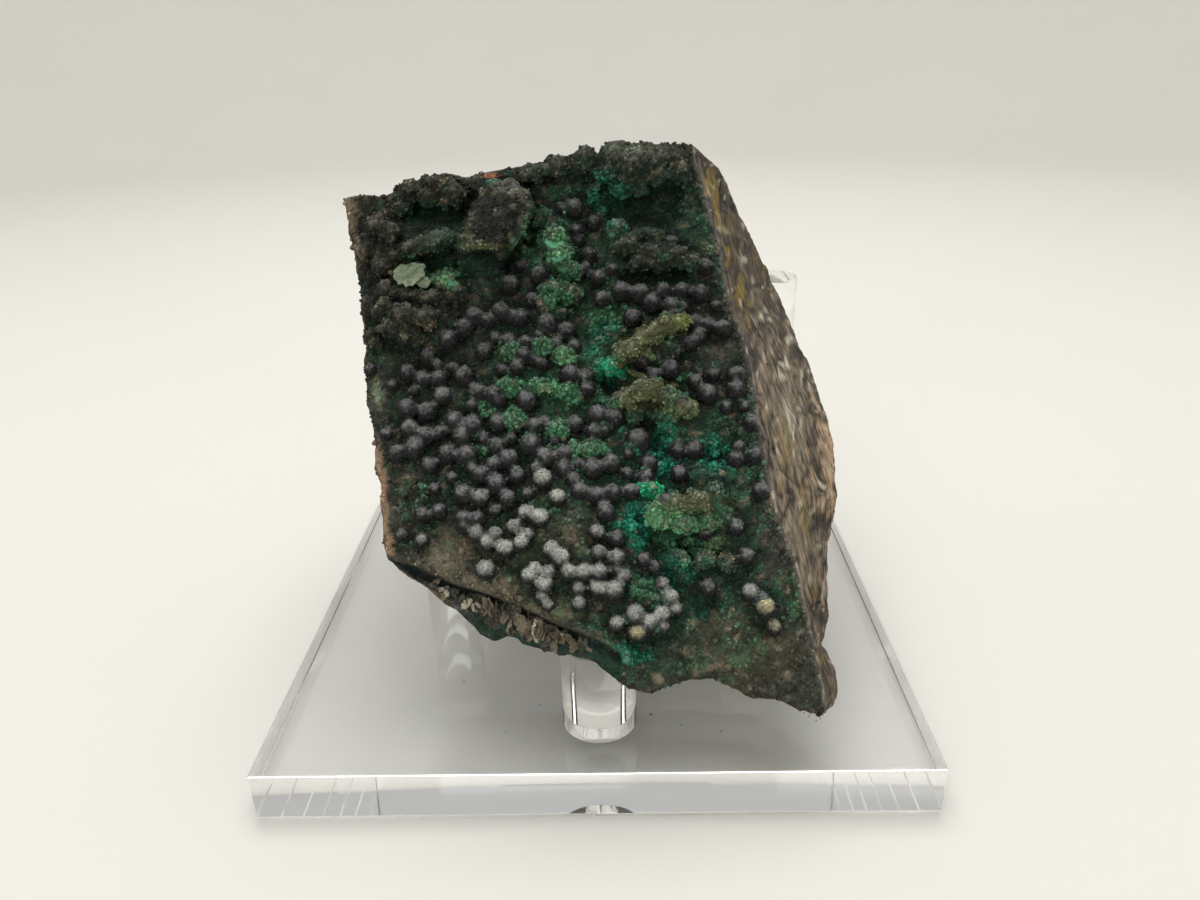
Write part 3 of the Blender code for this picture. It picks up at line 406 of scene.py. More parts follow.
def up_at(path: Path, u: float | Array) -> float | Array:
    """How high a path that runs across the face stands at u, and -100 past its ends."""
    return np.interp(u, [point[0] for point in path], [point[1] for point in path], left=-100, right=-100)


def noise_at(points: Array, wave: float, seed: float = 0.0) -> Array:
    """Smooth noise at many places.

    Args:
        points: one row for each place.
        wave: size of one lump, in the units of the places.
        seed: shifts the pattern.

    Returns:
        A value of about -0.7 to 0.7 for each place.
    """
    scaled = points / wave + seed
    return np.array([noise.noise(row) for row in scaled.tolist()])


def cells_at(points: Array, wave: float) -> tuple[Array, Array]:
    """Scatters cells over many places.

    Args:
        points: one row for each place.
        wave: about the width of a cell.

    Returns:
        For each place how far it is from the middle of its cell, and the cell's own number from 0 to 1.
    """
    found = [noise.voronoi(row) for row in (points / wave).tolist()]
    middles = np.array([spots[0] for _, spots in found])
    mixed = np.sin(middles @ np.array((12.9898, 78.233, 37.719))) * 43758.5453
    return np.array([away[0] for away, _ in found]), mixed - np.floor(mixed)


def proud(spots: Array, shown: Array, cell: float = 0.5, rounds: int = 6) -> Array:
    """Finds how far places stand out of the surface round them.

    Args:
        spots: one row of u, v, n in millimetres for each place.
        shown: 1 for a place on the seen side, 0 for one behind.
        cell: width of the squares that heights are gathered in.
        rounds: how often each square takes in its neighbours.

    Returns:
        Millimetres above the mean height of the surface near each place.
    """
    i, j = (np.clip((spots[:, axis] + 45.0) / cell, 0, 299).astype(int) for axis in (0, 1))
    sums = np.zeros((2, 300, 300))
    np.add.at(sums[0], (i, j), spots[:, 2] * shown)
    np.add.at(sums[1], (i, j), shown)
    for _ in range(rounds):
        for axis in (1, 2):
            sums = sums + np.roll(sums, 1, axis) + np.roll(sums, -1, axis)
    return np.where(sums[1, i, j] > 0, spots[:, 2] - sums[0, i, j] / np.maximum(sums[1, i, j], 1e-9), 0.0)


@dataclass(frozen=True)
class BlockShape:
    """Heights of the block's seen and hidden sides over its outline, in millimetres."""

    rim: float = 1.3
    right_rim: float = 2.6
    lip_u: tuple[float, float] = (3.0, 20.0)
    lip_v: tuple[float, float] = (34.0, 2.0)
    lip_drop: float = 6.5
    band_slope: float = 0.75
    groove: float = 1.7

    @staticmethod
    def spread(s: float, t: float) -> tuple[float, float]:
        """Spreads a unit square over the outline of the face.

        Args:
            s: share of the way across.
            t: share of the way up.

        Returns:
            The place across and up the face.
        """
        top = along(TOP_EDGE, s)
        bottom = along(BOTTOM_EDGE, s)
        left = along(LEFT_EDGE, t)
        right = along(RIGHT_EDGE, t)
        corners = (BOTTOM_EDGE[0], BOTTOM_EDGE[-1], TOP_EDGE[0], TOP_EDGE[-1])
        place = []
        for axis in (0, 1):
            ruled = (1 - t) * bottom[axis] + t * top[axis] + (1 - s) * left[axis] + s * right[axis]
            near = (1 - s) * corners[0][axis] + s * corners[1][axis]
            far = (1 - s) * corners[2][axis] + s * corners[3][axis]
            place.append(ruled - (1 - t) * near - t * far)
        return place[0], place[1]

    @staticmethod
    def plane_depth(place: Row, outward: Row, u: float, v: float) -> float:
        """How far off the face the line of sight over (u, v) meets a plane."""
        eye = SIGHT.point(SIGHT.u, SIGHT.v, SIGHT.n)
        near = SIGHT.point(u, v, 0.0)
        facing = Vector(outward).dot(near - eye)
        if facing < 0.004:
            return -100.0
        return SIGHT.n * (1 - Vector(outward).dot(Vector(place) * MM - eye) / facing)

    def back(self, u: float, v: float) -> float:
        """Depth of the hidden side under (u, v)."""
        height = max(self.plane_depth(place, outward, u, v) for place, outward in BACK_PLANES)
        height -= self.lip_drop * ramp(u, *self.lip_u) * ramp(v, *self.lip_v)
        return height + 1.5 * noise.noise((u * 0.09, v * 0.09, 11.0))

    @staticmethod
    def bump(u: float, v: float, row: Row) -> float:
        """Height that one ridge or hollow adds at (u, v)."""
        u1, v1, u2, v2, width, height = row
        du, dv = u2 - u1, v2 - v1
        part = ((u - u1) * du + (v - v1) * dv) / (du * du + dv * dv or 1.0)
        part = min(1.0, max(0.0, part))
        away = math.hypot(u - u1 - du * part, v - v1 - dv * part) / width
        return height * (1 - away * away) ** 2 if away < 1 else 0.0

    def right_side(self, u: float, v: float, arris: float) -> float:
        """Height of the side to the right of the arris, which falls back from the face."""
        rim = max(float(across_at(RIGHT_EDGE, v)), arris + 0.5)
        share = min(1.0, (u - arris) / (rim - arris))
        swell = 2.0 * math.sin(math.pi * share) if 10 < v < 70 else 0.0
        ripple = 0.6 * noise.noise((u * 0.55, v * 0.16, 3.0))
        return share * min(self.back(rim, v) + self.right_rim, -0.5) + swell + ripple

    def front(self, u: float, v: float) -> float:
        """Height of the seen surface: crusted face, right side, fractured lower edge."""
        arris = float(across_at(RIGHT_ARRIS, v))
        if u > arris:
            return self.right_side(u, v, arris)
        height = sum(self.bump(u, v, row) for row in RELIEF)
        height += 0.55 * noise.noise((u * 0.33, v * 0.33, 0.0))
        height += 0.30 * noise.noise((u * 0.85, v * 0.85, 5.0))
        height *= min(1.0, (arris - u) / 2.0 + 0.35)
        below = float(up_at(LOWER_ARRIS, u)) - v
        if below > 0:
            height -= self.band_slope * below
            carved = ramp(below, 0.0, 0.6) * (1 - ramp(below, 1.0, 2.6)) * ramp(-u, 0.0, 3.0)
            height -= self.groove * carved
        return height

    def hidden(self, u: float, v: float) -> float:
        """The hidden side, kept at least a rim's thickness behind the seen one."""
        rim = self.rim + (self.right_rim - self.rim) * ramp(u, 20, 30)
        return min(self.back(u, v), self.front(u, v) - rim)


def as_object(name: str, bm: Geometry) -> Piece:
    """Turns built geometry into an object in the scene.

    Args:
        name: its name.
        bm: the geometry, which is freed.

    Returns:
        The object, at the origin.
    """
    mesh = bpy.data.meshes.new(name)
    bm.to_mesh(mesh)
    bm.free()
    obj = bpy.data.objects.new(name, mesh)
    bpy.context.scene.collection.objects.link(obj)
    return obj


def settle(obj: Piece) -> Piece:
    """Makes what an object's modifiers do its own mesh.

    Args:
        obj: the object.

    Returns:
        The same object, with no modifiers.
    """
    bpy.context.view_layer.update()
    graph = bpy.context.evaluated_depsgraph_get()
    mesh = bpy.data.meshes.new_from_object(obj.evaluated_get(graph))
    mesh.name = obj.name
    obj.modifiers.clear()
    obj.data = mesh
    return obj


def coordinates(mesh: bpy.types.Mesh) -> Array:
    """The places of a mesh's points, one row each."""
    places = np.empty(len(mesh.vertices) * 3)
    mesh.vertices.foreach_get("co", places)
    return places.reshape(-1, 3)


def normals(mesh: bpy.types.Mesh) -> Array:
    """The outward directions at a mesh's points, one row each."""
    found = np.empty(len(mesh.vertices) * 3)
    mesh.vertices.foreach_get("normal", found)
    return found.reshape(-1, 3)


def copies(name: str, template: Geometry, places: Array, shapes: Array) -> Piece:
    """Repeats one small shape many times in a single mesh.

    Args:
        name: name of the new object.
        template: the shape, which is freed.
        places: middle of each copy, one row each.
        shapes: a 3 by 3 matrix for each copy, which sizes and turns it.

    Returns:
        The object that holds them all.
    """
    obj = as_object(name, template)
    single = coordinates(obj.data)
    repeat = obj.modifiers.new("Repeat", "ARRAY")
    repeat.use_relative_offset = False
    repeat.use_constant_offset = True
    repeat.constant_offset_displace = (0.0, 0.0, 0.0)
    repeat.count = len(places)
    settle(obj)
    spread = np.einsum("kij,vj->kvi", shapes, single) + places[:, None, :]
    obj.data.vertices.foreach_set("co", spread.reshape(-1))
    obj.data.update()
    return obj


def unit_ball(fineness: int) -> Geometry:
    """A ball of radius 1 made of triangles."""
    bm = bmesh.new()
    bmesh.ops.create_icosphere(bm, subdivisions=fineness, radius=1.0)
    return bm


def absorb(bm: Geometry, obj: Piece) -> None:
    """Adds an object's mesh to a bmesh and removes the object."""
    bm.from_mesh(obj.data)
    bpy.data.objects.remove(obj, do_unlink=True)


def smooth(obj: Piece, smoothed: bool = True) -> None:
    """Shades all faces of an object smooth, or all flat."""
    obj.data.polygons.foreach_set("use_smooth", [smoothed] * len(obj.data.polygons))


class NodeBench:
    """Lays out the nodes of one material."""

    def __init__(self, name: str) -> None:
        """Starts a material with a Principled shader.

        Args:
            name: its name.
        """
        self.material = bpy.data.materials.new(name)
        self.material.use_nodes = True
        self.tree = self.material.node_tree
        self.shader = self.tree.nodes["Principled BSDF"]

    def add(self, kind: str, **settings: object) -> bpy.types.Node:
        """Adds one node.

        Args:
            kind: its type.
            settings: properties, or input values where the name is an input's, with _ for a space.

        Returns:
            The node.
        """
        node = self.tree.nodes.new(kind)
        for name, value in settings.items():
            if hasattr(node, name):
                setattr(node, name, value)
            else:
                node.inputs[name.replace("_", " ")].default_value = value
        return node

    def link(self, source: Socket, target: Socket) -> None:
        """Joins an output to an input."""
        self.tree.links.new(source, target)

    def places(self) -> Socket:
        """The places on the finished piece."""
        return self.add("ShaderNodeTexCoord").outputs["Object"]

    def pattern(self, kind: str, where: Socket, **settings: float) -> bpy.types.Node:
        """Adds a noise or cell pattern over places."""
        node = self.add("ShaderNodeTex" + kind, **settings)
        self.link(where, node.inputs["Vector"])
        return node

    def set(self, **values: object) -> None:
        """Sets the shader's own sockets, with _ for a space in their names."""
        for name, value in values.items():
            self.shader.inputs[name.replace("_", " ")].default_value = value

    def mix(self, blend: str, first: Socket, second: object, share: object) -> Socket:
        """Mixes two colours.

        Args:
            blend: the blend mode.
            first: the colour underneath.
            second: a colour or the output that gives one.
            share: a number or the output that gives one.

        Returns:
            The mixed colour.
        """
        node = self.add("ShaderNodeMix", data_type="RGBA", blend_type=blend)
        self.link(first, node.inputs[6])
        for value, socket in ((second, node.inputs[7]), (share, node.inputs[0])):
            if isinstance(value, Socket):
                self.link(value, socket)
            else:
                socket.default_value = value
        return node.outputs[2]

    def multiply(self, first: Socket, second: Socket) -> Socket:
        """Multiplies two values."""
        node = self.add("ShaderNodeMath", operation="MULTIPLY")
        self.link(first, node.inputs[0])
        self.link(second, node.inputs[1])
        return node.outputs[0]

    def remap(
        self, source: Socket, low: float, high: float, to_low: float, to_high: float
    ) -> Socket:
        """Stretches a value from one range to another, and holds it there."""
        node = self.add(
            "ShaderNodeMapRange", From_Min=low, From_Max=high, To_Min=to_low, To_Max=to_high
        )
        self.link(source, node.inputs["Value"])
        return node.outputs["Result"]


@dataclass(frozen=True)
class StoneFinish:
    """A mineral surface that takes its broad colour from the mesh and adds grain, gloss and roughness."""

    name: str
    grain: float = 2400.0
    contrast: float = 0.55
    bump: float = 0.00016
    rough: tuple[float, float] = (0.6, 0.95)
    specular: float = 0.12
    fibrous: bool = False
    strand: float = 1500.0
    strand_length: float = 7.0

    def fibres(self, bench: NodeBench, where: Socket, shade: Socket) -> Socket:
        """Draws the shade out into fibres where the mesh says so.

        Args:
            bench: the material's nodes.
            where: the places of the surface.
            shade: the shade elsewhere.

        Returns:
            The shade with its fibres.
        """
        run = SIGHT.point(16.0, 82.0, 0.0) - SIGHT.point(33.0, -6.0, 0.0)
        turn = run.to_track_quat("Z", "Y").to_euler()
        drawn = bench.add(
            "ShaderNodeMapping", vector_type="TEXTURE", Rotation=turn, Scale=(1.0, 1.0, self.strand_length)
        )
        bench.link(where, drawn.inputs["Vector"])
        strands = bench.pattern("Noise", drawn.outputs["Vector"], Scale=self.strand, Detail=4.0, Roughness=0.65)
        share = bench.add("ShaderNodeAttribute", attribute_name="stone_fibre").outputs["Fac"]
        return bench.mix("MIX", shade, bench.remap(strands.outputs["Fac"], 0.34, 0.66, 0.35, 1.75), share)

    def make(self) -> bpy.types.Material:
        """Builds the material.

        Returns:
            The material.
        """
        bench = NodeBench(self.name)
        tint = bench.add("ShaderNodeAttribute", attribute_name="stone_tint")
        where = bench.places()
        fine = bench.pattern("Noise", where, Scale=self.grain, Detail=3.0, Roughness=0.6)
        grains = bench.pattern("Voronoi", where, Scale=self.grain * 1.3)
        shade = bench.remap(fine.outputs["Fac"], 0.25, 0.75, 1.0 - self.contrast, 1.0 + self.contrast)
        if self.fibrous:
            shade = self.fibres(bench, where, shade)
        colour = bench.mix("MULTIPLY", tint.outputs["Color"], shade, 1.0)
        spark = bench.add("ShaderNodeSeparateColor")
        bench.link(grains.outputs["Color"], spark.inputs["Color"])
        glint = bench.remap(spark.outputs["Red"], 0.82, 1.0, 0.0, 0.30)
        colour = bench.mix("ADD", colour, (0.10, 0.10, 0.095, 1.0), glint)
        bench.link(colour, bench.shader.inputs["Base Color"])
        gloss = bench.remap(spark.outputs["Green"], 0.0, 1.0, *self.rough)
        dull = bench.remap(tint.outputs["Alpha"], 0.0, 1.0, 0.45, 1.0)
        bench.link(bench.multiply(gloss, dull), bench.shader.inputs["Roughness"])
        height = bench.mix("ADD", fine.outputs["Color"], grains.outputs["Distance"], 0.6)
        bump = bench.add("ShaderNodeBump", Strength=1.0, Distance=self.bump)
        bench.link(height, bump.inputs["Height"])
        bench.link(bump.outputs["Normal"], bench.shader.inputs["Normal"])
        bench.set(Specular_IOR_Level=self.specular)
        return bench.material


@dataclass(frozen=True)
class ClearFinish:
    """Polished clear acrylic with faint scuffs."""

    name: str
    roughness: float = 0.012
    tint: tuple[float, float, float] = (0.995, 1.0, 0.995)

    def make(self) -> bpy.types.Material:
        """Builds the material.

        Returns:
            The material.
        """
        bench = NodeBench(self.name)
        haze = bench.pattern("Noise", bench.places(), Scale=55.0, Detail=4.0)
        gloss = bench.remap(haze.outputs["Fac"], 0.35, 0.75, self.roughness, self.roughness * 3.5)
        bench.link(gloss, bench.shader.inputs["Roughness"])
        bench.set(Base_Color=(*self.tint, 1.0), IOR=1.49, Transmission_Weight=1.0)
        return bench.material


@dataclass(frozen=True)
class SweepFinish:
    """Matt paper of the studio floor and backdrop, with painted light: a brighter square of floor under the
    plate.
    """

    name: str = "sweep_paper"
    colour: tuple[float, float, float] = (0.76, 0.75, 0.71)
    plate_painted_light_colour: tuple[float, float, float] = (0.95, 0.945, 0.915)
    # Inner and outer edge of the painted light square, as half widths in metres.
    sheet: tuple[float, float] = (0.0502, 0.0508)

    def make(self) -> bpy.types.Material:
        """Builds the material.

        Returns:
            The material.
        """
        bench = NodeBench(self.name)
        where = bench.places()
        fibre = bench.pattern("Noise", where, Scale=9.0, Detail=2.0)
        shade = bench.remap(fibre.outputs["Fac"], 0.3, 0.7, 0.985, 1.0)
        base = bench.add("ShaderNodeRGB")
        base.outputs[0].default_value = (*self.colour, 1.0)
        split = bench.add("ShaderNodeSeparateXYZ")
        bench.link(where, split.inputs[0])
        for axis in ("X", "Y"):
            reach = bench.add("ShaderNodeMath", operation="ABSOLUTE")
            bench.link(split.outputs[axis], reach.inputs[0])
            inside = bench.remap(reach.outputs[0], *self.sheet, 1.0, 0.0)
            under = inside if axis == "X" else bench.multiply(under, inside)
        # Painted light: the floor is made brighter in a square under the plate.
        paper = bench.mix("MIX", base.outputs[0], (*self.plate_painted_light_colour, 1.0), under)
        bench.link(bench.mix("MULTIPLY", paper, shade, 1.0), bench.shader.inputs["Base Color"])
        bench.set(Roughness=0.9, Specular_IOR_Level=0.1)
        return bench.material


def ball_place(shape: BlockShape, u: float, v: float, width: float) -> Vector:
    """Middle of a ball of the crust, which stands further out low on the face."""
    lift = BALL_LIFT + LOW_BALL_LIFT * (1 - ramp(v, 18.0, 34.0))
    return SIGHT.point(u, v, shape.front(u, v) + lift * width)


Patch = tuple[Tint, float, float, float, float, float]


@dataclass(frozen=True)
class Painter:
    """Works out the broad colour of the stone at any place on it."""

    patches: tuple[Patch, ...] = (
        (Tint.GREEN, 3, 52, 6, 8, 0.5), (Tint.GREEN, -6, 44, 9, 6, 0.3),
        (Tint.PINE, -14, 36, 12, 10, 0.5), (Tint.PINE, 10, 30, 14, 16, 0.5),
        (Tint.PINE, 6, 66, 17, 17, 0.75), (Tint.PINE, -2, 48, 18, 14, 0.65),
        (Tint.PINE, 14, 30, 13, 16, 0.6), (Tint.PINE, 14, 8, 15, 10, 0.8),
        (Tint.PINE, -14, 66, 14, 9, 0.6), (Tint.GREEN, 4, 50, 7, 8, 0.35),
        (Tint.GREEN, -3, 40, 12, 9, 0.3), (Tint.GREEN, 0, 66, 6, 10, 0.35),
        (Tint.TEAL, 9, 26, 6, 12, 0.3), (Tint.KNOB, -33, 67, 7, 10, 0.8),
        (Tint.KNOB, -26, 74, 8, 3.4, 0.7), (Tint.KNOB, -28, 55, 8, 6, 0.7),
        (Tint.KNOB, -14.5, 70, 6, 6, 0.95), (Tint.KNOB, 8, 78, 9, 3.4, 0.6),
        (Tint.KNOB, 10, 64, 7, 3.6, 0.7), (Tint.PINE, -24, 70, 6, 3, 0.8),
        (Tint.PINE, 9, 71, 6, 3.6, 0.75), (Tint.PINE, 2.5, 72, 4, 6, 0.6),
        # BLACK patches on the next three lines: painted shade in hollows and under the prism stub.
        (Tint.BLACK, 9, 60, 5, 1.6, 0.8), (Tint.BLACK, 12.0, 15.6, 3.2, 1.2, 0.8),
        (Tint.BLACK, 8.6, 36, 2.4, 2.2, 0.8), (Tint.BLACK, 3.2, 43, 2.0, 1.8, 0.7),
        (Tint.BLACK, -17, 62.5, 5, 2.4, 0.8), (Tint.DUST_AND_PAINTED_LIGHT, -12.5, 75, 3.4, 1.4, 0.6),
        (Tint.GREEN, -22, 61.5, 5, 3, 0.9), (Tint.LEAF, -21.5, 60, 2.6, 1.8, 0.9),
        (Tint.GREEN, -9.5, 65, 3, 5, 0.8), (Tint.TEAL, 3, 72, 3.2, 5, 0.5),
        (Tint.GREEN, -4, 64, 3, 6, 0.8), (Tint.LEAF, -4.6, 65, 2.4, 3.4, 0.8),
        (Tint.GREEN, -5, 57.5, 3, 2.5, 0.8), (Tint.GREEN, 3, 54, 4, 5.5, 0.9),
        (Tint.TEAL, 2.5, 49, 3, 4, 0.7), (Tint.EMERALD, 3.2, 45.2, 2.4, 2.4, 0.8),
        (Tint.GREEN, 8, 54, 5, 2, 0.6), (Tint.OLIVE, 11, 51.8, 5, 2, 0.9),
        (Tint.LIME, 13.4, 53.0, 2.2, 1.0, 0.8), (Tint.OLIVE, 7, 49, 4.5, 3, 0.8),
        (Tint.OLIVE, 8.4, 41.6, 5, 3, 0.8), (Tint.OLIVE, 14.4, 39.2, 3, 2, 0.7),
        (Tint.GREEN, 13, 43, 3, 2.6, 0.7), (Tint.TEAL, 11, 33, 2.8, 4.4, 0.95),
        (Tint.TEAL, 18.5, 32, 3, 3.4, 0.7), (Tint.TEAL, 6, 21.8, 2.8, 4, 0.95),
        (Tint.EMERALD, 8.4, 27.4, 2.6, 1.8, 0.95), (Tint.TEAL, 12, 14.5, 3, 4.5, 0.6),
        (Tint.PINE, 16, 8, 7, 5, 0.8), (Tint.TEAL, 15, 9.4, 1.6, 1.4, 0.3),
        (Tint.TEAL, 5.5, 3.6, 4, 1.8, 0.7), (Tint.LEAF, 9.4, 23.4, 1.8, 2.2, 0.6),
        (Tint.GREEN, 14.6, 20.8, 6, 4.6, 0.8), (Tint.OLIVE, 14.6, 25.2, 5.4, 1.8, 0.75),
        (Tint.LEAF, 11.4, 22.2, 2.4, 2.6, 0.4), (Tint.OLIVE, 18, 20, 2, 3, 0.4),
        (Tint.GREEN, -12, 48.5, 2.4, 1.8, 0.75), (Tint.GREEN, -7, 49, 2.4, 1.8, 0.8),
        (Tint.LEAF, -3.5, 47.6, 2.2, 1.6, 0.7), (Tint.GREEN, -12.3, 43, 2.6, 1.8, 0.8),
        (Tint.GREEN, -7, 42.8, 4, 1.8, 0.8), (Tint.LEAF, -6, 42.9, 1.6, 1.0, 0.5),
        (Tint.GREEN, -3, 41.6, 2.4, 1.8, 0.8), (Tint.GREEN, -11.6, 38, 2.4, 2, 0.8),
        (Tint.GREEN, -4.6, 36.6, 3, 1.8, 0.8), (Tint.GREEN, 0, 33.4, 3.6, 1.6, 0.8),
        (Tint.GREEN, -15.5, 39.8, 1.8, 1.4, 0.6), (Tint.GREEN, -16, 33, 1.6, 1.4, 0.6),
        (Tint.GREEN, -3, 28, 4, 3, 0.5), (Tint.GREEN, -6.4, 25, 2.4, 2, 0.6),
        (Tint.GREEN, 6.6, 13, 2.6, 2, 0.5), (Tint.PINE, -22.5, 26.5, 3, 2.4, 0.8),
        (Tint.PINE, -27, 62, 3, 2, 0.4), (Tint.GREEN, -11, 22, 8, 2, 0.3),
        (Tint.SAGE, 15.5, 71.4, 1.4, 1.6, 0.25), (Tint.SAGE, 18, 64, 1.4, 1.2, 0.3),
        (Tint.SAGE, 6.6, 80.4, 3.6, 1.0, 0.4), (Tint.SAGE, -31.8, 42.5, 1.2, 1.8, 0.4),
        (Tint.RUST, -15, 76.7, 1.2, 0.7, 1.0), (Tint.TEAL, -14.6, 75.6, 1.4, 0.7, 0.8),
        (Tint.TAN, -37, 69, 1.6, 5, 0.5), (Tint.TAN, -8, 19, 8, 4, 0.24),
        (Tint.TAN, -14, 13.6, 6, 2, 0.3), (Tint.TAN, -5, 10, 6, 2, 0.32), (Tint.TAN, -20, 18, 6, 4, 0.3),
        (Tint.TAN, -18.6, 66.8, 1.4, 0.6, 0.6), (Tint.OLIVE, -16.4, 65.4, 4.4, 0.5, 0.6),
        (Tint.KNOB, 20, 2, 12, 7, 0.85), (Tint.TAN, 22, 4, 9, 6, 0.10),
    )
    prism_patches: tuple[Patch, ...] = (
        # BLACK on the next two lines: painted shade under the prism stub, and a weaker wash that darkens the
        # stub.
        (Tint.KNOB, -14.8, 70.2, 4.4, 5.2, 0.9), (Tint.BLACK, -15.0, 69.0, 4.6, 5.2, 0.4),
        (Tint.BLACK, -16.6, 62.2, 4.8, 2.9, 0.95), (Tint.PINE, -18, 61.4, 3.4, 1.6, 0.6),
        (Tint.DUST_AND_PAINTED_LIGHT, -12.2, 75.0, 2.8, 1.2, 0.7), (Tint.DUST_AND_PAINTED_LIGHT, -14.0, 70.6, 0.8, 0.6, 0.9),
        (Tint.OLIVE, -16.0, 65.2, 4.2, 0.45, 0.8), (Tint.OLIVE, -18.6, 68.6, 0.6, 2.6, 0.3),
        (Tint.DUST_AND_PAINTED_LIGHT, 8, 79.6, 4, 0.8, 0.6),
    )
    side_patches: tuple[Patch, ...] = (
        (Tint.SIDE_LIGHT, 29, 36, 4, 13, 0.55), (Tint.SIDE_LIGHT, 30.5, 18, 2.6, 10, 0.6),
        (Tint.PALE_TAN, 35.2, 31, 1.7, 11, 0.8), (Tint.PALE_TAN, 34.2, 14, 1.0, 6, 0.4),
        (Tint.OCHRE, 18.6, 75, 0.5, 2.6, 0.9), (Tint.OCHRE, 19.8, 70, 0.45, 3.4, 0.8),
        (Tint.OCHRE, 21.4, 64, 0.5, 3.4, 0.9), (Tint.OCHRE, 23, 57, 0.5, 3.2, 0.9),
        (Tint.OCHRE, 24, 52.6, 0.45, 1.6, 0.8), (Tint.CREAM, 26.5, 53, 0.5, 0.6, 0.9),
        (Tint.CREAM, 29, 46, 0.6, 0.8, 0.9), (Tint.CREAM, 30, 49.5, 0.5, 0.6, 0.8),
        (Tint.CREAM, 28.5, 44.4, 0.5, 0.5, 0.9), (Tint.CREAM, 29.5, 38, 0.5, 2.4, 0.7),
        (Tint.RUST, 28, 47, 0.5, 0.5, 0.9), (Tint.OCHRE, 29, 33, 0.7, 5, 0.4),
        (Tint.OCHRE, 31, 24, 0.7, 5, 0.4), (Tint.OCHRE, 32, 12, 0.8, 1.2, 0.8),
        (Tint.OCHRE, 32.2, 2, 0.8, 1.0, 0.8), (Tint.TAN, 32.5, -2, 1.6, 2.4, 0.6),
    )
    # Direction of the key light: faces turned to it get painted highlight on the balls, and pale dust and
    # frost, partly painted light.
    light_and_dust_from: tuple[float, float, float] = (0.0, -0.35, 0.94)

    def surface(self, points: Array) -> Array:
        """Splits places on the stone into its regions.

        Args:
            points: places in metres.

        Returns:
            For each place its face coordinates, then 1 on the right side, 1 on the lower band,
            1 where hidden.
        """
        spots = SIGHT.coordinates(points)
        u, v, n = spots.T
        side = ramps(u - across_at(RIGHT_ARRIS, v), -0.4, 0.5)
        band = ramps(up_at(LOWER_ARRIS, u) - v, -0.3, 0.6)
        depth = self.seen_height(u, v) - n
        hidden = ramps(depth, 1.0, 2.0)
        return np.column_stack([spots, side, band, hidden])

    @staticmethod
    @lru_cache(maxsize=1)
    def height_net() -> tuple[Array, Array, Array]:
        """Knots across and up the face, and the height of the seen surface over each."""
        across, up = np.arange(-40.0, 38.0, 0.75), np.arange(-8.0, 84.0, 0.75)
        shape = BlockShape()
        return across, up, np.array([[shape.front(float(a), float(b)) for b in up] for a in across])

    def seen_height(self, u: Array, v: Array) -> Array:
        """Height of the seen surface at many places, read between the knots of the net."""
        across, up, net = self.height_net()
        i = np.clip((u - across[0]) / (across[1] - across[0]), 0, len(across) - 1.001)
        j = np.clip((v - up[0]) / (up[1] - up[0]), 0, len(up) - 1.001)
        i0, j0 = i.astype(int), j.astype(int)
        i, j = i - i0, j - j0
        low = net[i0, j0] * (1 - i) + net[i0 + 1, j0] * i
        high = net[i0, j0 + 1] * (1 - i) + net[i0 + 1, j0 + 1] * i
        return low * (1 - j) + high * j

    @staticmethod
    def lay(colours: Array, tint: Tint, share: Array) -> Array:
        """Moves each colour towards a tint by its share."""
        share = np.clip(share, 0.0, 1.0)[:, None]
        return colours * (1 - share) + np.array(tint.value) * share

    def lay_patches(
        self, colours: Array, rows: tuple[Patch, ...], u: Array, v: Array, ragged: Array
    ) -> Array:
        """Lays patches of tint with ragged edges over colours.

        Args:
            colours: the colours so far.
            rows: tint, middle across, middle up, half sizes and strength of each patch.
            u: places across.
            v: places up.
            ragged: noise that frays the edges.

        Returns:
            The new colours.
        """
        for tint, at_u, at_v, half_u, half_v, strength in rows:
            away = np.hypot((u - at_u) / half_u, (v - at_v) / half_v)
            colours = self.lay(colours, tint, strength * ramps(1.05 - away + ragged, 0.0, 0.3))
        return colours

    @staticmethod
    def ball_shares(points: Array) -> tuple[Array, Array, Array]:
        """Finds which places lie on a ball of the crust.

        Args:
            points: places in metres.

        Returns:
            For each place 1 on a ball, the frost of that ball, and 1 where the frost is yellow.
        """
        tree = kdtree.KDTree(len(BALLS))
        shape = BlockShape()
        for index, (u, v, width) in enumerate(BALLS):
            tree.insert(ball_place(shape, u, v, width), index)
        tree.balance()
        on_ball, frost, yellow = np.zeros(len(points)), np.zeros(len(points)), np.zeros(len(points))
        pale = {(row[0], row[1]): row[2] for row in FROSTED}
        for spot, place in enumerate(points.tolist()):
            _, index, distance = tree.find(place)
            u, v, width = BALLS[index]
            reach = distance / (BALL_GROWTH * width / 2 * MM)
            if reach < 1.35:
                on_ball[spot] = 1 - ramp(reach, 1.05, 1.25)
                frost[spot] = pale.get((u, v), 0.0)
                yellow[spot] = float((u, v) in YELLOW_BALLS)
        return on_ball, frost, yellow

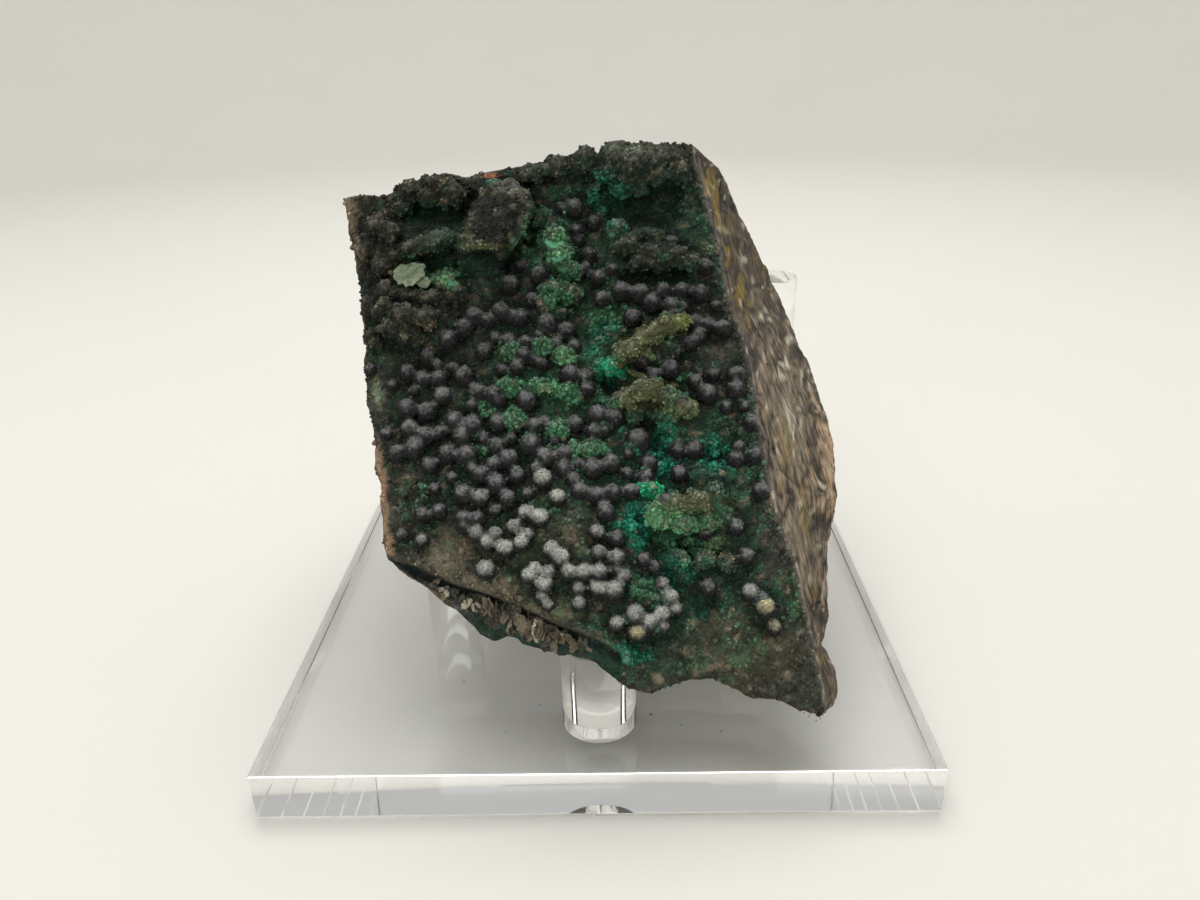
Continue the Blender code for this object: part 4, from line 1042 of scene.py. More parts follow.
    def crust_colours(self, mm: Array, spots: Array, upward: Array, fine: Array) -> Array:
        """Works out the colour of the crust between the balls.

        Args:
            mm: places in millimetres.
            spots: face coordinates and regions of the places.
            upward: how far each place faces the light.
            fine: fine noise there.

        Returns:
            One row of red, green and blue for each place.
        """
        u, v, _, _, _, hidden = spots.T
        broad, mid = noise_at(mm, 7.0), noise_at(mm, 1.6, 3.0)
        _, own = cells_at(mm, GRAIN)
        stands = proud(spots[:, :3], 1 - hidden)
        ragged = 0.30 * mid + 0.45 * (own - 0.5)
        colours = np.tile(np.array(Tint.DRUSE.value), (len(mm), 1))
        colours = self.lay(colours, Tint.KNOB, 0.4 + 1.2 * broad)
        colours = self.lay_patches(colours, self.patches, u, v, ragged)
        colours = self.lay(colours, Tint.GREEN, 0.35 * ramps(own + 0.7 * broad - 0.4 * stands, 0.75, 0.9))
        colours = self.lay(colours, Tint.TAN, 0.45 * ramps(own + 0.5 * mid, 0.12, 0.02))
        # Paler on raised tops that face the key light: partly grey dust, partly painted light.
        colours = self.lay(colours, Tint.DUST_AND_PAINTED_LIGHT, 0.4 * ramps(upward + 0.5 * fine + 0.5 * stands, 0.95, 1.5))
        colours = self.lay_patches(colours, self.prism_patches, u, v, ragged)
        colours = colours * (0.6 + 0.8 * np.modf(own * 7.0)[0])[:, None]
        return self.rim_colours(colours, u, v, ragged)

    def ball_colours(self, upward: Array, fine: Array, mid: Array, frost: Array, yellow: Array) -> Array:
        """Works out the colour of the balls: dark, with a painted highlight and their frost on the side toward
        the key light.
        """
        ball = np.tile(np.array(Tint.BALL.value), (len(upward), 1))
        # Painted highlight: paler where a ball faces the key light.
        ball = self.lay(ball, Tint.BALL_PAINTED_HIGHLIGHT, ramps(upward + 0.4 * fine, 0.5, 1.1))
        # The frosted balls' pale coat, laid only where they face the key light: frost and painted highlight.
        tip = frost * ramps(upward + 0.2 * fine + 0.15 * mid, 0.15, 1.1)
        ball = self.lay(ball, Tint.FROST, tip * (1 - yellow))
        return self.lay(ball, Tint.YELLOW_FROST, tip * yellow)

    def colours(self, points: Array, outward: Array) -> Array:
        """Works out the broad colour at many places.

        Args:
            points: places in metres.
            outward: directions of the surface there.

        Returns:
            One row of red, green, blue and dullness for each place.
        """
        spots = self.surface(points)
        u, v, _, side, band, hidden = spots.T
        mm = points / MM
        mid, fine = noise_at(mm, 1.6, 3.0), noise_at(mm, 0.55, 9.0)
        _, own = cells_at(mm, GRAIN)
        stands = proud(spots[:, :3], 1 - hidden)
        ragged = 0.30 * mid + 0.45 * (own - 0.5)
        upward = outward @ np.array(self.light_and_dust_from)
        colours = self.crust_colours(mm, spots, upward, fine)
        on_ball, frost, yellow = self.ball_shares(points)
        ball = self.ball_colours(upward, fine, mid, frost, yellow)
        colours = colours * (1 - on_ball[:, None]) + ball * on_ball[:, None]
        # Lighter low on the face; painted shade darkens the hollows that lie below the surface round them.
        lighter = 1.0 + 0.4 * (1 - ramps(v, 28.0, 58.0))
        colours = colours * (lighter * (1.1 - 0.75 * ramps(-stands, 0.0, 0.8)))[:, None]
        colours = self.band_colours(colours, u, v, mid, own, band)
        colours = self.side_colours(colours, mm, side, ragged, u, v)
        colours = self.hidden_colours(colours, mm, hidden)
        return np.column_stack([colours, 1.0 - 0.6 * on_ball * (1 - hidden)])

    def rim_colours(self, colours: Array, u: Array, v: Array, ragged: Array) -> Array:
        """Lays the bare orange-brown rock that shows along the left rim."""
        rim = 1 - ramps(u - across_at(LEFT_EDGE, v) + ragged, 0.5, 1.1)
        low = ramps(v, 15.0, 18.0) * (1 - ramps(v, 33.0, 37.0))
        colours = self.lay(colours, Tint.MATRIX, rim * low * 0.9)
        return self.lay(colours, Tint.TAN, rim * ramps(v, 60.0, 66.0) * 0.7)

    def band_colours(
        self, colours: Array, u: Array, v: Array, mid: Array, own: Array, band: Array,
    ) -> Array:
        """Lays the thin grey layers, painted shade in the hollow under the ledge, and the green of the
        fractured lower edge.
        """
        below = up_at(LOWER_ARRIS, u) - v
        stripes = noise_at(np.stack([below * 1.5, u * 0.14, 0 * u], axis=1), 0.6, 51.0)
        layered = np.tile(np.array(Tint.KNOB.value), (len(colours), 1))
        layered = self.lay(layered, Tint.LILAC, 0.7 * ramps(stripes, 0.0, 0.4))
        green = ramps(own + 0.6 * mid + 0.25 * (below - 2.0), 0.4, 0.6) * ramps(u, -24.0, -12.0)
        layered = self.lay(layered, Tint.PINE, 0.9 * green)
        layered = self.lay(layered, Tint.MATRIX, 0.8 * ramps(below, 2.2, 3.2) * ramps(-u, 20.0, 24.0))
        layered = self.lay(layered, Tint.PINE, 0.9 * ramps(u, -4.0, 1.0))
        # Painted shade: black in the hollow just under the ledge.
        recess = 0.9 * ramps(below, 0.2, 0.8) * (1 - ramps(below, 1.4, 2.4))
        layered = self.lay(layered, Tint.BLACK, recess)
        layered = self.lay(layered, Tint.TAN, 0.6 * (1 - ramps(below, 0.1, 0.5)))
        layered = layered * (0.6 + 0.8 * own)[:, None]
        share = band[:, None]
        return colours * (1 - share) + layered * share

    def side_colours(
        self, colours: Array, mm: Array, side: Array, ragged: Array, u: Array, v: Array,
    ) -> Array:
        """Lays the streaky browns of the right side."""
        stretched = np.stack([u, v * 0.16, mm[:, 1] * 0.4], axis=1)
        streak = noise_at(stretched, 0.55, 21.0)
        speck = noise_at(mm, 0.42, 31.0)
        bare = np.tile(np.array(Tint.SIDE.value), (len(colours), 1))
        light = 0.85 - 0.45 * ramps(v, 45.0, 72.0) - 0.4 * (1 - ramps(v, 2.0, 12.0))
        bare = self.lay(bare, Tint.SIDE_LIGHT, light * ramps(streak + 0.8 * speck, -0.2, 0.6))
        bare = self.lay(bare, Tint.BLACK, 0.5 * ramps(-streak - 0.7 * speck, 0.1, 0.5))
        bare = self.lay(bare, Tint.OCHRE, 0.4 * ramps(streak - speck, 0.35, 0.6))
        bare = self.lay_patches(bare, self.side_patches, u, v, ragged * 2.2 + 1.2 * streak)
        off_arris = np.abs(u - across_at(RIGHT_ARRIS, v)) - 2 * ragged
        bare = self.lay(bare, Tint.LILAC, 0.5 * (1 - ramps(off_arris, 0.1, 0.8)))
        bare = self.lay(bare, Tint.CREAM, 0.7 * ramps(speck + 0.3 * streak, 0.42, 0.54))
        share = side[:, None]
        return colours * (1 - share) + bare * share

    def hidden_colours(self, colours: Array, mm: Array, hidden: Array) -> Array:
        """Lays the iron-stained broken rock of the sides that the crust doesn't reach."""
        broad, speck = noise_at(mm, 9.0, 41.0), noise_at(mm, 0.7, 43.0)
        _, own = cells_at(mm, 2 * GRAIN)
        rock = np.tile(np.array(Tint.MATRIX.value), (len(colours), 1))
        rock = self.lay(rock, Tint.SIDE, ramps(broad + 0.5 * own + 0.6 * speck, -0.15, 0.65))
        rock = self.lay(rock, Tint.RUST, 0.5 * ramps(-broad + 0.6 * speck - 0.3 * own, 0.1, 0.6))
        rock = self.lay(rock, Tint.CREAM, 0.35 * ramps(speck, 0.25, 0.6))
        rock = self.lay(rock, Tint.BLACK, 0.5 * ramps(-speck, 0.3, 0.6))
        rock = rock * (0.6 + 0.7 * own)[:, None]
        share = hidden[:, None]
        return colours * (1 - share) + rock * share


def paint(mesh: bpy.types.Mesh, colours: Array) -> None:
    """Stores red, green, blue and dullness for each point of a mesh."""
    layer = mesh.color_attributes.new("stone_tint", "FLOAT_COLOR", "POINT")
    layer.data.foreach_set("color", colours.reshape(-1))


@dataclass
class Specimen:
    """The mineral block with its crust of balls and knobs, and the seats of its three pegs."""

    columns: int = 130
    rows: int = 150
    voxel: float = 0.30
    far_triangles: int = 50000
    most_triangles: int = 190000
    seat_gap: float = 0.6
    knob_lift: float = 0.25
    prism_beads: int = 330
    teeth: int = 190
    seed: int = 5

    def lay_sheet(self, bm: Geometry, height_of: object) -> None:
        """Spreads a fine grid over the outline.

        Args:
            bm: takes the grid.
            height_of: gives the height over a place.
        """
        made = bmesh.ops.create_grid(bm, x_segments=self.columns, y_segments=self.rows, size=1.0)
        for vert in made["verts"]:
            u, v = BlockShape.spread((vert.co.x + 1) / 2, (vert.co.y + 1) / 2)
            vert.co = (u, v, height_of(u, v))

    def block(self) -> Geometry:
        """Builds the plain block.

        Returns:
            A seen sheet and a hidden sheet with walls between their rims.
        """
        shape = BlockShape()
        bm = bmesh.new()
        self.lay_sheet(bm, shape.front)
        rim = [edge for edge in bm.edges if edge.is_boundary]
        walls = bmesh.ops.extrude_edge_only(bm, edges=rim)["geom"]
        for vert in (item for item in walls if isinstance(item, bmesh.types.BMVert)):
            vert.co.z = shape.hidden(vert.co.x, vert.co.y)
        self.lay_sheet(bm, shape.hidden)
        bmesh.ops.remove_doubles(bm, verts=bm.verts, dist=0.002)
        for vert in bm.verts:
            vert.co = SIGHT.point(*vert.co)
        bmesh.ops.recalc_face_normals(bm, faces=bm.faces)
        return bm

    def seated(self, pegs: Pegs) -> Geometry:
        """Cuts the peg seats out of the block.

        Args:
            pegs: x, y, radius and top of each peg in metres, by name.

        Returns:
            The block with its seats.
        """
        block = as_object("block", self.block())
        cutters = []
        for name, (x, y, radius, top) in pegs.items():
            bm = bmesh.new()
            height = top + self.seat_gap * MM
            bmesh.ops.create_cone(
                bm, cap_ends=True, segments=48, radius1=radius + self.seat_gap * MM,
                radius2=radius + self.seat_gap * MM, depth=height,
                matrix=Matrix.Translation((x, y, height / 2)),
            )
            cutter = as_object(name + "_seat", bm)
            cut = block.modifiers.new(name, "BOOLEAN")
            cut.operation = "DIFFERENCE"
            cut.solver = "EXACT"
            cut.object = cutter
            cutters.append(cutter)
        settle(block)
        for cutter in cutters:
            bpy.data.objects.remove(cutter, do_unlink=True)
        bm = bmesh.new()
        absorb(bm, block)
        return bm

    def add_balls(self, bm: Geometry) -> None:
        """Adds the round balls of the crust."""
        shape = BlockShape()
        rng = np.random.default_rng(self.seed)
        places, sizes = [], []
        for u, v, width in BALLS:
            places.append(ball_place(shape, u, v, width))
            sizes.append(np.diag(rng.uniform(0.95, 1.05, 3)) * BALL_GROWTH * width / 2 * MM)
        absorb(bm, copies("balls", unit_ball(3), np.array(places), np.array(sizes)))

    def add_knobs(self, bm: Geometry) -> None:
        """Adds the knobs, each a flattened ball set all over with small beads."""
        shape = BlockShape()
        rng = np.random.default_rng(self.seed + 1)
        stand = np.array(Matrix.Rotation(SIGHT.tilt, 3, "X"))
        places, shapes, beads, widths = [], [], [], []
        for u, v, half_u, half_v, half_n, turn in KNOBS:
            centre = np.array(SIGHT.point(u, v, shape.front(u, v) + self.knob_lift * half_n))
            spin = np.array(Matrix.Rotation(math.radians(turn), 3, "Z"))
            size = stand @ spin @ np.diag((half_u, half_v, half_n)) * MM
            places.append(centre)
            shapes.append(size * 0.84)
            lumps = round(4 + 2.6 * half_u * half_v)
            for number in range(lumps * 2):
                way = rng.normal(size=3)
                way[2] = abs(way[2]) - 0.15
                way /= np.linalg.norm(way)
                span, reach = ((0.55, 0.95), 0.76) if number < lumps else ((0.3, 0.5), 0.88)
                widths.append(np.eye(3) * rng.uniform(*span) * MM)
                beads.append(centre + size @ way * reach)
        absorb(bm, copies("knobs", unit_ball(3), np.array(places), np.array(shapes)))
        absorb(bm, copies("beads", unit_ball(2), np.array(beads), np.array(widths)))

    def add_clusters(self, bm: Geometry) -> None:
        """Adds the clusters of small beads, and the lumps on the prism crystal."""
        shape = BlockShape()
        rng = np.random.default_rng(self.seed + 2)
        places, sizes = [], []
        for u, v, half_u, half_v, count, widest in CLUSTERS:
            for _ in range(int(count)):
                reach, turn = math.sqrt(rng.uniform()), rng.uniform(0, math.tau)
                at_u, at_v = u + half_u * reach * math.cos(turn), v + half_v * reach * math.sin(turn)
                width = widest * rng.uniform(0.5, 1.0)
                lift = width * rng.uniform(0.1, 0.3) + 0.9 * widest * (1 - reach)
                places.append(SIGHT.point(at_u, at_v, shape.front(at_u, at_v) + lift))
                sizes.append(np.eye(3) * width / 2 * MM)
        for _ in range(self.teeth):
            at_v = rng.uniform(3.0, 78.0)
            at_u = float(across_at(RIGHT_ARRIS, at_v)) - abs(rng.normal(0.0, 0.5))
            width = rng.uniform(0.5, 1.3)
            places.append(SIGHT.point(at_u, at_v, shape.front(at_u, at_v) + 0.1 * width))
            sizes.append(np.diag(rng.uniform(0.7, 1.3, 3)) * width / 2 * MM)
        for u, v, n, width in PRISM_LUMPS:
            places.append(SIGHT.point(u, v, n - 0.32 * width))
            sizes.append(np.diag(rng.uniform(0.8, 1.15, 3)) * width / 2 * MM)
        absorb(bm, copies("clusters", unit_ball(2), np.array(places), np.array(sizes)))

    def add_prism(self, bm: Geometry) -> None:
        """Adds the prism crystal, a stub whose lower edge stands proud, set all over with beads."""
        corners = [bm.verts.new(SIGHT.point(*corner)) for corner in PRISM]
        made = bmesh.ops.convex_hull(bm, input=corners)["geom"]
        faces = [item for item in made if isinstance(item, bmesh.types.BMFace)]
        bmesh.ops.recalc_face_normals(bm, faces=faces)
        areas = np.array([face.calc_area() for face in faces])
        rng = np.random.default_rng(self.seed + 3)
        places = []
        areas *= [face.normal.z > 0.1 for face in faces]
        for index in rng.choice(len(faces), self.prism_beads, p=areas / areas.sum()):
            a, b, c = (np.array(vert.co) for vert in faces[index].verts)
            low, high = sorted(rng.uniform(size=2))
            places.append(a * low + b * (high - low) + c * (1 - high))
        sizes = [np.diag(rng.uniform(0.75, 1.25, 3)) * rng.uniform(0.25, 0.5) * MM for _ in places]
        loose = [vert for vert in corners if vert.is_valid and not vert.link_faces]
        bmesh.ops.delete(bm, geom=loose, context="VERTS")
        absorb(bm, copies("prism_beads", unit_ball(2), np.array(places), np.array(sizes)))

    def fuse(self, obj: Piece) -> None:
        """Grows the lumps and the block into one skin, finest on the seen side."""
        grow = obj.modifiers.new("Fuse", "REMESH")
        grow.mode = "VOXEL"
        grow.voxel_size = self.voxel * MM
        settle(obj)
        drop_islands(obj.data)
        hidden = Painter().surface(coordinates(obj.data))[:, 5] > 0.5
        group = obj.vertex_groups.new(name="far")
        group.add(np.flatnonzero(hidden).tolist(), 1.0, "REPLACE")
        self.break_rock(obj, group.name)
        triangles = 2 * len(obj.data.polygons)
        far = triangles * hidden.mean()
        LOG.info("skin: %d triangles, %d of them out of sight", triangles, far)
        kept = triangles - far + min(far, self.far_triangles)
        thin_out(obj, kept / triangles, group.name)
        thin_out(obj, self.most_triangles / kept)
        obj.vertex_groups.clear()

    @staticmethod
    def break_rock(obj: Piece, group: str) -> None:
        """Roughens the hidden side like broken rock, in coarse chips and fine grain."""
        for kind, size, depth in (("VORONOI", 4.5, 0.8), ("CLOUDS", 1.1, 0.35)):
            pattern = bpy.data.textures.new("broken_rock", kind)
            pattern.noise_scale = size * MM
            push = obj.modifiers.new("Break", "DISPLACE")
            push.texture = pattern
            push.texture_coords = "LOCAL"
            push.strength = depth * MM
            push.vertex_group = group
        settle(obj)

    def roughen(self, mesh: bpy.types.Mesh) -> None:
        """Raises fine grain all over the skin."""
        points, outward = coordinates(mesh), normals(mesh)
        u, v, _, side, band, hidden = Painter().surface(points).T
        on_ball, _, _ = Painter.ball_shares(points)
        mm = points / MM
        cells = 0.5 - cells_at(mm, GRAIN)[0]
        grain = noise_at(mm, 0.5, 2.0)
        lumps = noise_at(mm, 1.8, 6.0)
        stretched = np.stack([u, v * 0.2, mm[:, 1] * 0.5], axis=1)
        streaks = noise_at(stretched, 0.9, 21.0)
        crust = (1 - side) * (1 - band) * (1 - hidden)
        height = crust * (1 - on_ball) * (0.30 * cells + 0.07 * grain + 0.14 * lumps)
        height += crust * on_ball * 0.05 * grain
        height += (side * (1 - hidden)) * (0.30 * streaks + 0.12 * grain)
        height += band * (1 - hidden) * (0.22 * lumps + 0.14 * grain)
        height += hidden * 0.15 * grain
        keep_inside(mesh, points + outward * (height * MM)[:, None])

    def build(self, pegs: Pegs) -> Piece:
        """Builds and paints the whole stone.

        Args:
            pegs: x, y, radius and top of each peg in metres, by name.

        Returns:
            The stone.
        """
        bm = self.seated(pegs)
        self.add_knobs(bm)
        self.add_clusters(bm)
        self.add_balls(bm)
        self.add_prism(bm)
        obj = as_object("mineral_block", bm)
        self.fuse(obj)
        self.roughen(obj.data)
        paint(obj.data, Painter().colours(coordinates(obj.data), normals(obj.data)))
        _, _, _, side, _, hidden = Painter().surface(coordinates(obj.data)).T
        fibre = obj.data.attributes.new("stone_fibre", "FLOAT", "POINT")
        fibre.data.foreach_set("value", side * (1 - hidden))
        obj.data.materials.append(StoneFinish("stone_crust", fibrous=True).make())
        smooth(obj)
        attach(obj, "root")
        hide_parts("specimen")
        return obj


def thin_out(obj: Piece, ratio: float, group: str = "") -> None:
    """Merges the smallest triangles of an object.

    Args:
        obj: the object.
        ratio: share of its triangles to keep.
        group: the only points to merge, or all where empty.
    """
    thin = obj.modifiers.new("Thin", "DECIMATE")
    thin.vertex_group = group
    thin.vertex_group_factor = 1.0 if group else 0.0
    thin.ratio = min(1.0, ratio)
    settle(obj)


def drop_islands(mesh: bpy.types.Mesh) -> None:
    """Keeps only the largest connected body of a mesh."""
    bm = bmesh.new()
    bm.from_mesh(mesh)
    left = set(bm.verts)
    bodies = []
    while left:
        body, reach = set(), [next(iter(left))]
        left.discard(reach[0])
        while reach:
            vert = reach.pop()
            body.add(vert)
            for edge in vert.link_edges:
                other = edge.other_vert(vert)
                if other in left:
                    left.discard(other)
                    reach.append(other)
        bodies.append(body)
    bodies.sort(key=len)
    stray = [vert for body in bodies[:-1] for vert in body]
    bmesh.ops.delete(bm, geom=stray, context="VERTS")
    bm.to_mesh(mesh)
    bm.free()


class Ground(Enum):
    """Parts of the stone that grains grow on."""

    CRUST = "crust"
    BALLS = "balls"


@dataclass
class Grains:
    """One layer of fine grains over the seen face of the stone."""

    name: str
    ground: Ground
    count: int
    sizes: tuple[float, float]
    rounded: bool = False
    bare: float = 0.4
    sink: float = 0.25
    shades: tuple[float, float] = (0.5, 2.0)
    seed: int = 11

    def chosen(self, points: Array, tints: Array) -> Array:
        """Picks the points of the stone that bear a grain, more of them where it is green.

        Args:
            points: the stone's points.
            tints: its colours there.

        Returns:
            Their numbers.
        """
        painter = Painter()
        region = painter.surface(points)
        on_ball, _, _ = painter.ball_shares(points)
        wanted = on_ball > 0.5 if self.ground is Ground.BALLS else on_ball < 0.5
        allowed = wanted & (region[:, 3:] < 0.5).all(axis=1)
        weight = allowed * (self.bare + ramps(tints[:, 1] - tints[:, 0], 0.015, 0.05))
        rng = np.random.default_rng(self.seed)
        count = min(self.count, int(allowed.sum()))
        return rng.choice(len(points), count, replace=False, p=weight / weight.sum())

    def template(self) -> Geometry:
        """One grain, a small ball or a rough crystal."""
        if not self.rounded:
            return unit_ball(1)
        bm = bmesh.new()
        bmesh.ops.create_uvsphere(bm, u_segments=8, v_segments=5, radius=1.0)
        return bm

    def build(self, stone: Piece) -> Piece:
        """Scatters the grains over the stone.

        Args:
            stone: the finished stone.

        Returns:
            The grains, as one object.
        """
        points, outward = coordinates(stone.data), normals(stone.data)
        tints = tints_of(stone.data)
        chosen = self.chosen(points, tints)
        rng = np.random.default_rng(self.seed + 1)
        sizes = rng.uniform(*self.sizes, len(chosen)) * MM
        turns = np.linalg.qr(rng.normal(size=(len(chosen), 3, 3)))[0]
        stretch = rng.uniform(0.75, 1.25, (len(chosen), 1, 3))
        shapes = turns * stretch * sizes[:, None, None]
        spots = points[chosen] + outward[chosen] * (sizes * self.sink)[:, None]
        obj = copies(self.name, self.template(), spots, shapes)
        own = tints[chosen]
        own[:, :3] *= rng.uniform(*self.shades, (len(chosen), 1))
        placed = coordinates(obj.data)
        each = len(placed) // len(chosen)
        # Each grain is painted darker at its foot and lighter at its outer tip: painted shade.
        away = placed - np.repeat(spots, each, axis=0)
        rise = (away * np.repeat(outward[chosen], each, axis=0)).sum(axis=1) / np.repeat(sizes, each)
        own = np.repeat(own, each, axis=0)
        own[:, :3] *= (0.3 + 0.8 * ramps(rise, -0.5, 0.7))[:, None]
        paint(obj.data, own)
        keep_inside(obj.data, placed)
        face_out(obj.data)
        obj.data.materials.append(
            StoneFinish(self.name + "_finish", contrast=0.3, rough=(0.45, 0.85), specular=0.2).make()
        )
        smooth(obj, self.rounded)
        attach(obj, "root")
        return obj


# A flake: tint, across, up, off the face, half sizes, turn and lean in degrees, curl, and roll
Leaf = tuple[Tint, float, float, float, float, float, float, float, float, float]


@dataclass
class Flakes:
    """Thin plates on the face, listed without their roll, and the fan of curled blades under its ledge."""

    leaves: tuple[tuple[Tint | float, ...], ...] = (
        (Tint.SAGE, -27.6, 61.0, 2.6, 2.5, 2.0, 12, -14, 0.25),
        (Tint.SAGE, -25.6, 59.8, 2.1, 1.3, 0.9, -30, -10, 0.2),
        (Tint.MINT, -22.6, 60.2, 1.6, 0.8, 0.6, 20, -20, 0.3),
        (Tint.MINT, -21.2, 59.4, 1.6, 0.7, 0.5, -40, -25, 0.3),
        (Tint.MINT, -22.0, 61.4, 1.3, 0.6, 0.5, 50, -10, 0.2),
        (Tint.LEAF, -20.4, 60.8, 1.3, 0.7, 0.5, 10, -25, 0.3),
        (Tint.MINT, -5.2, 65.6, 2.0, 1.5, 1.1, -20, -22, 0.3),
        (Tint.MINT, -4.5, 63.3, 1.9, 1.1, 0.8, 30, -24, 0.3),
        (Tint.MINT, -6.4, 66.4, 1.7, 0.8, 0.6, 60, -30, 0.2),
        (Tint.LEAF, -4.0, 61.4, 1.5, 0.9, 0.6, -10, -20, 0.2),
        (Tint.LEAF, 9.2, 23.2, 1.9, 1.3, 1.8, 8, -12, 0.3),
        (Tint.EMERALD, 8.6, 27.0, 1.6, 1.3, 0.7, 20, -30, 0.4),
        (Tint.LIME, 13.6, 53.0, 1.8, 1.5, 0.6, 24, -35, 0.4),
        (Tint.OLIVE, 10.6, 51.4, 1.8, 2.4, 0.7, 28, -40, 0.5),
        (Tint.OLIVE, 9.0, 42.6, 2.4, 1.8, 0.8, 15, -45, 0.3),
        (Tint.OLIVE, 14.2, 25.6, 2.4, 2.0, 0.9, -8, -50, 0.3),
        (Tint.OLIVE, 7.2, 44.4, 2.0, 1.7, 0.7, -24, -50, 0.5),
        (Tint.OLIVE, 11.8, 42.2, 2.2, 1.5, 0.7, 34, -45, 0.4),
        (Tint.OLIVE, 5.0, 46.6, 1.9, 1.3, 0.6, 60, -30, 0.5),
        (Tint.LIME, 15.0, 40.2, 1.8, 1.2, 0.5, -30, -40, 0.5),
        (Tint.GREEN, 12.2, 21.0, 2.2, 1.9, 1.0, 40, -40, 0.4),
        (Tint.LEAF, 16.4, 22.2, 2.2, 1.7, 0.8, -35, -45, 0.4),
        (Tint.GREEN, 18.4, 24.6, 1.9, 1.5, 0.7, -60, -40, 0.5),
        (Tint.GREEN, 15.8, 17.6, 1.8, 1.8, 0.9, -20, -40, 0.4),
        (Tint.RUST, -15.0, 76.6, 0.9, 1.4, 0.6, 0, -30, 0.2),
    )
    blades: int = 58
    blade_u: tuple[float, float] = (-23.0, -1.0)
    blade_tints: tuple[Tint, ...] = (
        Tint.SIDE_LIGHT, Tint.CREAM, Tint.DUST_AND_PAINTED_LIGHT, Tint.SIDE_LIGHT, Tint.TAN, Tint.DUST_AND_PAINTED_LIGHT,
    )
    thickness: float = 0.28
    seed: int = 23

    def fan(self, rng: np.random.Generator) -> list[Leaf]:
        """Places the curled blades side by side under the ledge.

        Args:
            rng: source of their scatter.

        Returns:
            One row for each blade.
        """
        shape = BlockShape()
        rows = []
        for number in range(self.blades):
            share = number / (self.blades - 1)
            u = self.blade_u[0] + (self.blade_u[1] - self.blade_u[0]) * share + rng.uniform(-0.4, 0.4)
            size = (0.45 + 0.55 * ramp(u, -20.0, -13.0)) * (1 - 0.5 * ramp(u, -5.0, -1.5))
            size *= rng.uniform(0.6, 1.15)
            v = float(up_at(LOWER_ARRIS, u)) - rng.uniform(1.2, 2.0 + 1.9 * size)
            tint = self.blade_tints[int(rng.integers(len(self.blade_tints)))]
            rows.append((
                tint, u, v, shape.front(u, v) + 0.35 * size,
                rng.uniform(0.6, 1.1) * size, rng.uniform(1.0, 1.9) * size,
                rng.uniform(-45, 45) + 50 * (share - 0.6), rng.uniform(-15, 30),
                rng.uniform(0.4, 1.1) * size, rng.uniform(-60, 60),
            ))
        return rows

    def leaf(self, row: Leaf, rng: np.random.Generator) -> Geometry:
        """Builds one thin plate with a frayed rim.

        Args:
            row: where it lies and how large it is.
            rng: source of the fraying.

        Returns:
            The plate, in place.
        """
        _, u, v, lift, half_u, half_v, turn, lean, curl, roll = row
        bm = bmesh.new()
        bmesh.ops.create_grid(bm, x_segments=7, y_segments=7, size=1.0)
        for vert in bm.verts:
            x, y, _ = vert.co
            fray = 1 + rng.uniform(-0.16, 0.16)
            rise = curl * (x * x + y * y) / 2 + rng.uniform(-0.06, 0.06)
            across, up = x * math.sqrt(1 - y * y / 2), y * math.sqrt(1 - x * x / 2)
            vert.co = (across * half_u * fray, up * half_v * fray, rise)
        bmesh.ops.solidify(bm, geom=bm.faces[:], thickness=self.thickness)
        turned = Matrix.Rotation(SIGHT.tilt, 4, "X") @ Matrix.Rotation(math.radians(turn), 4, "Z")
        turned = turned @ Matrix.Rotation(math.radians(lean), 4, "X")
        turned = turned @ Matrix.Rotation(math.radians(roll), 4, "Y") @ Matrix.Scale(MM, 4)
        place = Matrix.Translation(SIGHT.point(u, v, lift))
        bmesh.ops.transform(bm, matrix=place @ turned, verts=bm.verts)
        return bm

    def build(self) -> Piece:
        """Builds and paints all the plates.

        Returns:
            The plates, as one object.
        """
        rng = np.random.default_rng(self.seed)
        shape = BlockShape()
        rows = [
            (tint, u, v, shape.front(u, v) + lift, *rest, 0.0) for tint, u, v, lift, *rest in self.leaves
        ]
        bm = bmesh.new()
        tints = []
        for row in [*rows, *self.fan(rng)]:
            single = self.leaf(row, rng)
            shades = rng.uniform(0.5, 1.1, (len(single.verts), 1))
            tints.append(np.column_stack([np.array(row[0].value) * shades, np.ones(len(shades))]))
            absorb(bm, as_object("leaf", single))
        bmesh.ops.recalc_face_normals(bm, faces=bm.faces)
        obj = as_object("stone_flakes", bm)
        paint(obj.data, np.concatenate(tints))
        obj.data.materials.append(StoneFinish("flake_finish", contrast=0.4, rough=(0.5, 0.85)).make())
        smooth(obj, False)
        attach(obj, "root")
        return obj


